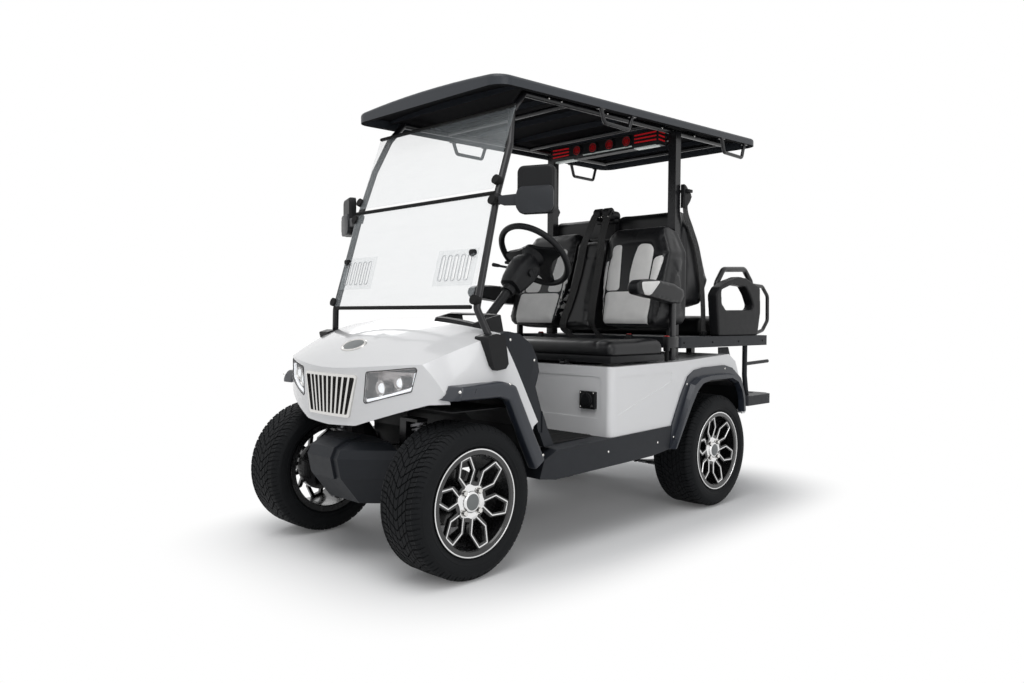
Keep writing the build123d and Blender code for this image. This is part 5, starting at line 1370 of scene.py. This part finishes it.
# turned forms of the bar's lamps: distance forwards, radius
BAR_RING = ((-0.002, 0.0235), (0.0012, 0.0235), (0.0016, 0.0215), (0.0016, 0.0185), (-0.001, 0.018))
BAR_CORE = ((-0.002, 0.0155), (0.0010, 0.0150), (0.0016, 0.0060), (0.0016, 0.0))
BAR_BEZEL = ((-0.002, 0.0295), (0.0022, 0.0295), (0.0028, 0.0275), (0.0010, 0.0240))
# red stripes of the bar: x from, x to, height at each end, in millimetres
BAR_STRIPES = ((214, 350, 1904, 1906), (214, 350, 1886, 1886), (214, 350, 1868, 1866),
               (-350, -232, 1906, 1904), (-350, -232, 1886, 1886), (-350, -232, 1866, 1868))
STRIPE = (0.007, 0.0024)       # width and thickness of a stripe


class CART_OT_sound_bar(bpy.types.Operator):
    """Lights the sound bar under the roof"""
    bl_idname = "cart.sound_bar"
    bl_label = "Sound bar"

    def execute(self, context):
        bar = node_surface("sound_bar")
        glow, dim, dark = bmesh.new(), bmesh.new(), bmesh.new()
        for x in BAR_LAMPS:
            base = self.face(bar, x, BAR_LAMP_Z)
            lathe(dim, base, FORWARD, BAR_RING, steps=36)
            lathe(dim, base, FORWARD, BAR_CORE, steps=28)
            lathe(dark, base, FORWARD, BAR_BEZEL, steps=36)
        for x0, x1, z0, z1 in BAR_STRIPES:
            points = [self.face(bar, x0 + (x1 - x0) * i / 6, z0 + (z1 - z0) * i / 6) for i in range(7)]
            strap(glow, points, *STRIPE, FORWARD)
            side, z = (1, z1) if x0 > 0 else (-1, z0)
            points = [at(side * 363, y, z + (1446 - y) * 0.05) for y in (1447, 1470, 1500)]
            strap(glow, points, *STRIPE, (side, 0, 0))
        piece_from(glow, "bar_stripes", "red_glow", sharp=40)
        piece_from(dim, "bar_lights", "red_dim", sharp=40)
        piece_from(dark, "bar_bezels", "black_plastic", sharp=40)
        self.strip()
        return {"FINISHED"}

    @staticmethod
    def face(bar, x, z):
        """A point on the bar's front face."""
        return meet(bar, at(x, 1300, z), BACKWARD, "the face of the sound bar")[0]

    @staticmethod
    def strip():
        """White lamps under the bar: a long one and the two end ones."""
        bm = bmesh.new()
        box(bm, at(-130, 1443.5, 1851), at(196, 1452, 1857), soft=0.0015)
        for side, _ in SIDES:
            outline = ((205, 1456), (338, 1456), (352, 1470), (338, 1500), (205, 1500))
            prism(bm, [at(side * x, y, 1846) for x, y in outline], (0, 0, -0.007), soft=0.0018)
        piece_from(bm, "bar_white_lamps", "bar_white", sharp=40)


# ---- steering wheel and cabin -------------------------------------------------------------
WHEEL_CENTRE = at(250, 650, 1235)
WHEEL_OUT = Vector((0, 1, 1)).normalized()          # out of the steering wheel towards the driver
WHEEL_UP = Vector((0, -1, 1)).normalized()          # up its face
# cover of the column: distance along it, half width, half height, in millimetres
SHROUD = ((-215, 28, 26), (-208, 44, 42), (-178, 52, 50), (-120, 60, 58), (-70, 60, 58), (-50, 52, 50))
# line of the mat up the toe board: y, z in millimetres, and half its width
MAT_LINE = ((775, 440), (620, 440), (500, 440.2), (462, 442), (446, 456), (414, 509), (386, 572))
MAT_HALF = 0.494
# rib of the mat: share of the pitch from its middle, height
MAT_RIB = ((-0.30, 0.0016), (-0.18, 0.0046), (0.18, 0.0046), (0.30, 0.0016))
# slots of the windscreen's sliders: how many, the x where they start, pitch, in millimetres
SLOTS = (5, 232, 38.8)
SCREEN_UP = Vector((0, 0.267, 0.963))
SCREEN_BACK = Vector((0, 0.963, 0.267))
KNOB = ((-0.004, 0.012), (0.006, 0.012), (0.008, 0.0145), (0.016, 0.0145), (0.019, 0.011), (0.019, 0.0))


class CART_OT_cabin(bpy.types.Operator):
    """Adds the column's cover and stalk, the floor mat and the windscreen's fittings"""
    bl_idname = "cart.cabin"
    bl_label = "Cabin"

    def execute(self, context):
        self.shroud()
        self.mat(context.scene.cart_sizes.mat_pitch)
        self.vents()
        return {"FINISHED"}

    @staticmethod
    def shroud():
        """Two-part cover of the column with its switch and stalk."""
        bm = bmesh.new()
        rings = []
        for along, wide, high in SHROUD:
            ring = []
            for i in range(32):
                turn = TURN * i / 32
                x = math.copysign(abs(math.cos(turn)) ** 0.55, math.cos(turn)) * wide
                y = math.copysign(abs(math.sin(turn)) ** 0.55, math.sin(turn)) * high
                ring.append(WHEEL_CENTRE + (WHEEL_OUT * along + ACROSS * x + WHEEL_UP * y) * MM)
            rings.append(ring)
        skin(bm, rings)
        lathe(bm, WHEEL_CENTRE - WHEEL_OUT * 0.120 + ACROSS * 0.055, ACROSS,
              [(0, 0.017), (0.014, 0.016), (0.016, 0.012)], steps=24)
        piece_from(bm, "column_shroud", "black_plastic", sharp=40)
        bm = bmesh.new()
        start = WHEEL_CENTRE - WHEEL_OUT * 0.085 - ACROSS * 0.05
        path = [start, start - ACROSS * 0.05 + WHEEL_UP * 0.01, start - ACROSS * 0.125 + WHEEL_UP * 0.03]
        tube(bm, smooth_path(path, 0.01), 0.0055, sides=12)
        lathe(bm, path[-1], WHEEL_UP * 0.25 - ACROSS,
              [(-0.03, 0.0075), (-0.004, 0.009), (0.004, 0.0085), (0.008, 0.004)], steps=16)
        piece_from(bm, "column_stalk", "black_plastic", sharp=40)

    @staticmethod
    def mat(pitch):
        """Ribbed rubber mat that runs from the seat box up the toe board."""
        line = smooth_path([(0, y * MM, z * MM) for y, z in MAT_LINE], 0.02)
        section = [(-MAT_HALF, 0.0004)]
        for i in range(int(2 * MAT_HALF / pitch)):
            rib = -MAT_HALF + pitch * (i + 0.5)
            section += [(rib + pitch * share, height) for share, height in MAT_RIB]
        section += [(MAT_HALF, 0.0004), (MAT_HALF, -0.001), (-MAT_HALF, -0.001)]
        rings = []
        for i, point in enumerate(line):
            along = (line[min(i + 1, len(line) - 1)] - line[max(i - 1, 0)]).normalized()
            lift = Vector((0, along.z, -along.y))
            rings.append([Vector((x, AXLE_Y + point.y, point.z)) + lift * height for x, height in section])
        bm = bmesh.new()
        skin(bm, rings)
        piece_from(bm, "floor_mat", "rubber", sharp=30)

    @staticmethod
    def vents():
        """Rims of the slots and clamp knobs on the windscreen's two sliders."""
        plate = node_surface("windscreen_vents")
        knobs, rims = bmesh.new(), bmesh.new()
        count, first, pitch = SLOTS
        for side, _ in SIDES:
            for i in range(count):
                x = first + pitch * (i + 0.5)
                face = meet(plate, at(side * (x + 15), -60, 1150), BACKWARD, "the land beside a slot")[0]
                loop = []
                for step in range(24):
                    angle = TURN * step / 24
                    bulge = 0.043 if math.sin(angle) > 0 else -0.043
                    loop.append(face + Vector((math.cos(angle) * 0.0105 - side * 0.015, 0, 0))
                                + SCREEN_UP * (bulge + math.sin(angle) * 0.0105) - SCREEN_BACK * 0.001)
                tube(rims, loop, 0.0016, sides=6, closed=True)
            face = meet(plate, at(side * 424, -60, 1206), BACKWARD, "the place of a knob")[0]
            lathe(knobs, face, -SCREEN_BACK, KNOB, steps=10)
        piece_from(knobs, "vent_knobs", "black_plastic", sharp=30)
        piece_from(rims, "vent_rims", "screen_print", sharp=60)


# ---- fittings of the body -----------------------------------------------------------------
# bolts that show on the outside: node, y, z, in millimetres; they stand on the face found from outside
SIDE_BOLTS = (("front_flares", -102, 694), ("front_flares", 150, 709), ("front_flares", 329, 423),
              ("rear_flares", 1261, 396), ("rear_flares", 1372, 641), ("rear_flares", 1731, 702),
              ("rear_tray", 1420, 838), ("rear_tray", 1690, 838), ("rear_tray", 1960, 838),
              ("rear_tray", 2230, 838), ("sills", 760, 384), ("sills", 1130, 384),
              ("side_covers", 196, 872), ("side_covers", 330, 790))
ROOF_BOLTS = (560, 640, 960, 1400, 1500, 1560, 1700)
# cut that squares the front end of a front flare: a place on it and the way that stays
FLARE_CUT = (at(0, -125, 650), Vector((0, 0.83, -0.56)).normalized())
CHARGE_PORT = (0.462, 0.597)   # x, z
# plate and latch of the charge port: low corner, high corner, rounding
PORT_BLOCKS = (((-0.044, -0.004, -0.041), (0.044, 0.003, 0.038), 0.004),
               ((-0.007, -0.0165, 0.018), (0.007, -0.003, 0.036), 0.002))
# a mirror: how far it is turned, and the outlines of its ridge, foot and pane, in millimetres from its middle
MIRROR_TURN = math.radians(22)
MIRROR_RIDGE = ((-76, -12), (-60, 10), (66, 10), (75, -4), (75, -74), (58, -90), (-52, -90), (-70, -78),
                (-76, -52))
MIRROR_FOOT = ((-150, -18), (-70, -14), (-70, -58), (-128, -56), (-150, -48))
MIRROR_PANE = ((-68, -84), (68, -84), (68, 84), (-68, 84))
TAIL_RINGS = (0.0300, 0.0205, 0.0110)    # radii of a tail lamp's rings
# stud of the rear step: height, radius
STUD = ((-0.001, 0.006), (0.0014, 0.0056), (0.0022, 0.0040), (0.0022, 0.0))


class CART_OT_fittings(bpy.types.Operator):
    """Adds bolts, the charge port's lid, mirror faces and other small fittings"""
    bl_idname = "cart.fittings"
    bl_label = "Fittings"

    def execute(self, context):
        self.bolts(context.scene.cart_sizes.bolt_radius)
        self.front_flares()
        self.rear_arms()
        self.charge_port()
        self.mirrors()
        self.lamps_behind()
        self.pedal_ribs()
        self.step_grip()
        return {"FINISHED"}

    @staticmethod
    def bolts(radius):
        """Bolts of the body's sides and of the roof's rails."""
        bright, dark = bmesh.new(), bmesh.new()
        rail = node_surface("roof_frame")
        for side, _ in SIDES:
            for node, y, z in SIDE_BOLTS:
                hit = meet(node_surface(node), at(side * 900, y, z), (-side, 0, 0),
                           f"a bolt's place on {node}")
                bolt(dark if node == "rear_tray" else bright, *hit, radius)
            for y in ROOF_BOLTS:
                hit = land(rail, at(side * 700, y, 1862 + (y - 200) * 0.03 + 8), (-side, 0, 0))
                if hit:
                    bolt(bright, *hit, radius)
        piece_from(bright, "body_bolts", "bright_metal", sharp=30)
        piece_from(dark, "tray_bolts", "black_plastic", sharp=30)

    @staticmethod
    def front_flares():
        """Wheel flares with soft edges, their front ends trimmed square to the arch."""
        bm = node_form("front_flares")
        place, square = FLARE_CUT
        bmesh.ops.bisect_plane(bm, geom=bm.verts[:] + bm.edges[:] + bm.faces[:], plane_co=place,
                               plane_no=square, clear_inner=True)
        bmesh.ops.holes_fill(bm, edges=[edge for edge in bm.edges if edge.is_boundary], sides=0)
        # the flares take the glossier finish whose paler, bluer colour is a painted sheen
        moulding("wheel_flares", bm, 7, "flare_gloss_painted_sheen", "charcoal_moulding", "front_flares")

    @staticmethod
    def rear_arms():
        """Rear armrests with soft edges."""
        moulding("rear_arm_mouldings", node_form("rear_armrests"), 6, "black_plastic", "black_plastic",
                 "rear_armrests")

    @staticmethod
    def charge_port():
        """Lid of the charge port with its turned cap, latch, lock and screws."""
        plate, lock, screws = bmesh.new(), bmesh.new(), bmesh.new()
        x, z = CHARGE_PORT
        centre = Vector((x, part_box("charge_port")[0][1] + 0.006, z))
        for low, high, soft in PORT_BLOCKS:
            box(plate, centre + Vector(low), centre + Vector(high), soft=soft)
        lathe(plate, centre, FORWARD,
              [(0, 0.031), (0.008, 0.0305), (0.010, 0.028), (0.010, 0.022), (0.0125, 0.021), (0.0135, 0.0)],
              steps=40)
        lathe(lock, centre + Vector((0.030, -0.004, -0.028)), FORWARD,
              [(0, 0.0055), (0.0025, 0.0055), (0.003, 0.0042), (0.003, 0.0)], steps=20)
        for x, z in ((-0.036, -0.033), (-0.036, 0.030), (0.036, 0.030)):
            bolt(screws, centre + Vector((x, -0.004, z)), FORWARD, 0.0036)
        piece_from(plate, "charge_lid", "black_plastic")
        piece_from(lock, "charge_lock", "bright_metal")
        piece_from(screws, "charge_screws", "bright_metal")

    @staticmethod
    def mirrors():
        """Ridge on the back of each mirror's case, its foot and the glass that faces the driver."""
        case, glass = bmesh.new(), bmesh.new()
        for side, _ in SIDES:
            centre = at(side * 622, 262, 1440)
            wide = Vector((side * math.cos(MIRROR_TURN), math.sin(MIRROR_TURN), 0))
            look = Vector((side * math.sin(MIRROR_TURN), -math.cos(MIRROR_TURN), 0))

            def plate(outline, out):
                return [centre + wide * point.x + Vector((0, 0, point.y)) + look * out for point in outline]

            ridge = plate(rounded(flat(MIRROR_RIDGE), 0.012, 3), 0.012)
            prism(case, ridge, look * 0.013, soft=0.005, segments=3)
            prism(case, plate(flat(MIRROR_FOOT), 0.002), look * 0.016, soft=0.004)
            prism(glass, plate(rounded(flat(MIRROR_PANE), 0.022), -0.0165), -look * 0.0016, soft=0.0005)
        piece_from(case, "mirror_cases", "mirror_case", sharp=40)
        piece_from(glass, "mirror_panes", "mirror_glass", sharp=40)

    @staticmethod
    def lamps_behind():
        """Rings of the tail lamps."""
        bm = bmesh.new()
        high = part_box("tail_lamps")[1]
        for side, _ in SIDES:
            place = Vector((side * 0.496, high[1] - 0.001, 0.600))
            for radius in TAIL_RINGS:
                ring = circle(place, ACROSS * radius, Vector((0, 0, radius)), 32)
                tube(bm, ring, 0.0016, sides=6, closed=True)
        piece_from(bm, "tail_lamp_rings", "red_lens", sharp=60)

    @staticmethod
    def pedal_ribs():
        """Rubber ribs on the faces of the pedals, wherever a pedal is met across their width."""
        bm = bmesh.new()
        tree = node_surface("pedals")
        low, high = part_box("pedals")
        columns, rows = 40, 5
        cell = (high[0] - low[0]) / columns
        for i in range(columns):
            x = low[0] + cell * (i + 0.5)
            for j in range(rows):
                z = low[2] + (high[2] - low[2]) * (0.12 + 0.14 * j)
                hit = land(tree, (x, high[1] + 0.2, z), FORWARD)
                if hit and hit[1].y > 0.3:
                    face, normal = hit
                    wide, rise = ACROSS * (cell / 2), normal.cross(ACROSS).normalized() * 0.003
                    foot = face - normal * 0.001
                    corners = [foot - wide - rise, foot + wide - rise, foot + wide + rise, foot - wide + rise]
                    prism(bm, corners, normal * 0.0032)
        if not bm.faces:
            raise RuntimeError("no pedal face was found")
        piece_from(bm, "pedal_ribs", "rubber")

    @staticmethod
    def step_grip():
        """Raised studs of the rear step, on its flat top only."""
        bm = bmesh.new()
        surface = node_surface("rear_step")
        for i in range(21):
            for j in range(6):
                start = at(-400 + 40 * i + (20 if j % 2 else 0), 2170 + 36 * j, 700)
                hit = land(surface, start, (0, 0, -1))
                if hit and hit[1].z > 0.9 and hit[0].z > 0.525 and start.x < 0.41:
                    lathe(bm, hit[0], (0, 0, 1), STUD, steps=8, start=math.pi / 8)
        if not bm.faces:
            raise RuntimeError("the step's top was not found")
        piece_from(bm, "step_studs", "charcoal_moulding")


WHEEL_R = 0.168                # middle of the steering wheel's rim
# outline of the spokes' plate: across, up, in millimetres from the middle, and the boss: distance out, radius
SPOKES = ((-160, 30), (-118, 34), (-62, 40), (-34, 50), (0, 54), (34, 50), (62, 40), (118, 34), (160, 30),
          (164, -6), (132, -18), (96, -34), (66, -62), (44, -92), (30, -124), (26, -160), (-26, -160),
          (-30, -124), (-44, -92), (-66, -62), (-96, -34), (-132, -18), (-164, -6))
WHEEL_BOSS = ((0, 0.040), (0.006, 0.044), (0.024, 0.058), (0.042, 0.056), (0.050, 0.046), (0.053, 0.026),
              (0.0535, 0.0))


class CART_OT_hand_wheel(bpy.types.Operator):
    """Moulds the steering wheel: padded rim, three flat spokes and a boss"""
    bl_idname = "cart.hand_wheel"
    bl_label = "Steering wheel"

    def execute(self, context):
        bm = bmesh.new()
        rim = circle(WHEEL_CENTRE, ACROSS * WHEEL_R, WHEEL_UP * WHEEL_R, 96)
        tube(bm, rim, 0.0138, sides=16, closed=True)
        plate = [WHEEL_CENTRE - WHEEL_OUT * 0.010 + ACROSS * point.x + WHEEL_UP * point.y
                 for point in rounded(flat(SPOKES), 0.016, 3)]
        prism(bm, plate, WHEEL_OUT * 0.016, soft=0.005, segments=3)
        lathe(bm, WHEEL_CENTRE - WHEEL_OUT * 0.032, WHEEL_OUT, WHEEL_BOSS, steps=48)
        wheel = piece_from(bm, "hand_wheel", "black_plastic", "steering_hand_wheel", sharp=40)
        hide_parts("steering_wheel")
        return {"FINISHED"}


STEPS = (CART_OT_finishes, CART_OT_stage, CART_OT_tyres, CART_OT_wheel_trim, CART_OT_upholstery,
         CART_OT_belts, CART_OT_nose, CART_OT_sound_bar, CART_OT_cabin, CART_OT_hand_wheel, CART_OT_fittings)


class CART_PT_panel(bpy.types.Panel):
    """Lists the cart's settings and the steps that build it"""
    bl_label = "Golf cart"
    bl_idname = "CART_PT_panel"
    bl_space_type = "VIEW_3D"
    bl_region_type = "UI"
    bl_category = "Cart"

    def draw(self, context):
        scene = context.scene
        for settings in (scene.cart_colours, scene.cart_sizes, scene.cart_stage):
            column = self.layout.column()
            for name in settings.__class__.__annotations__:
                column.prop(settings, name)
        for step in STEPS:
            self.layout.operator(step.bl_idname)


SETTINGS = {"cart_colours": CartColours, "cart_sizes": CartSizes, "cart_stage": StageSettings}


def register():
    for group in SETTINGS.values():
        bpy.utils.register_class(group)
    for name, group in SETTINGS.items():
        setattr(bpy.types.Scene, name, PointerProperty(type=group))
    for step in STEPS:
        bpy.utils.register_class(step)
    bpy.utils.register_class(CART_PT_panel)


def unregister():
    bpy.utils.unregister_class(CART_PT_panel)
    for step in reversed(STEPS):
        bpy.utils.unregister_class(step)
    for name in SETTINGS:
        delattr(bpy.types.Scene, name)
    for group in SETTINGS.values():
        bpy.utils.unregister_class(group)


def main():
    register()
    for step in STEPS:
        group, name = step.bl_idname.split(".")
        getattr(getattr(bpy.ops, group), name)()


if __name__ == "__main__":
    main()
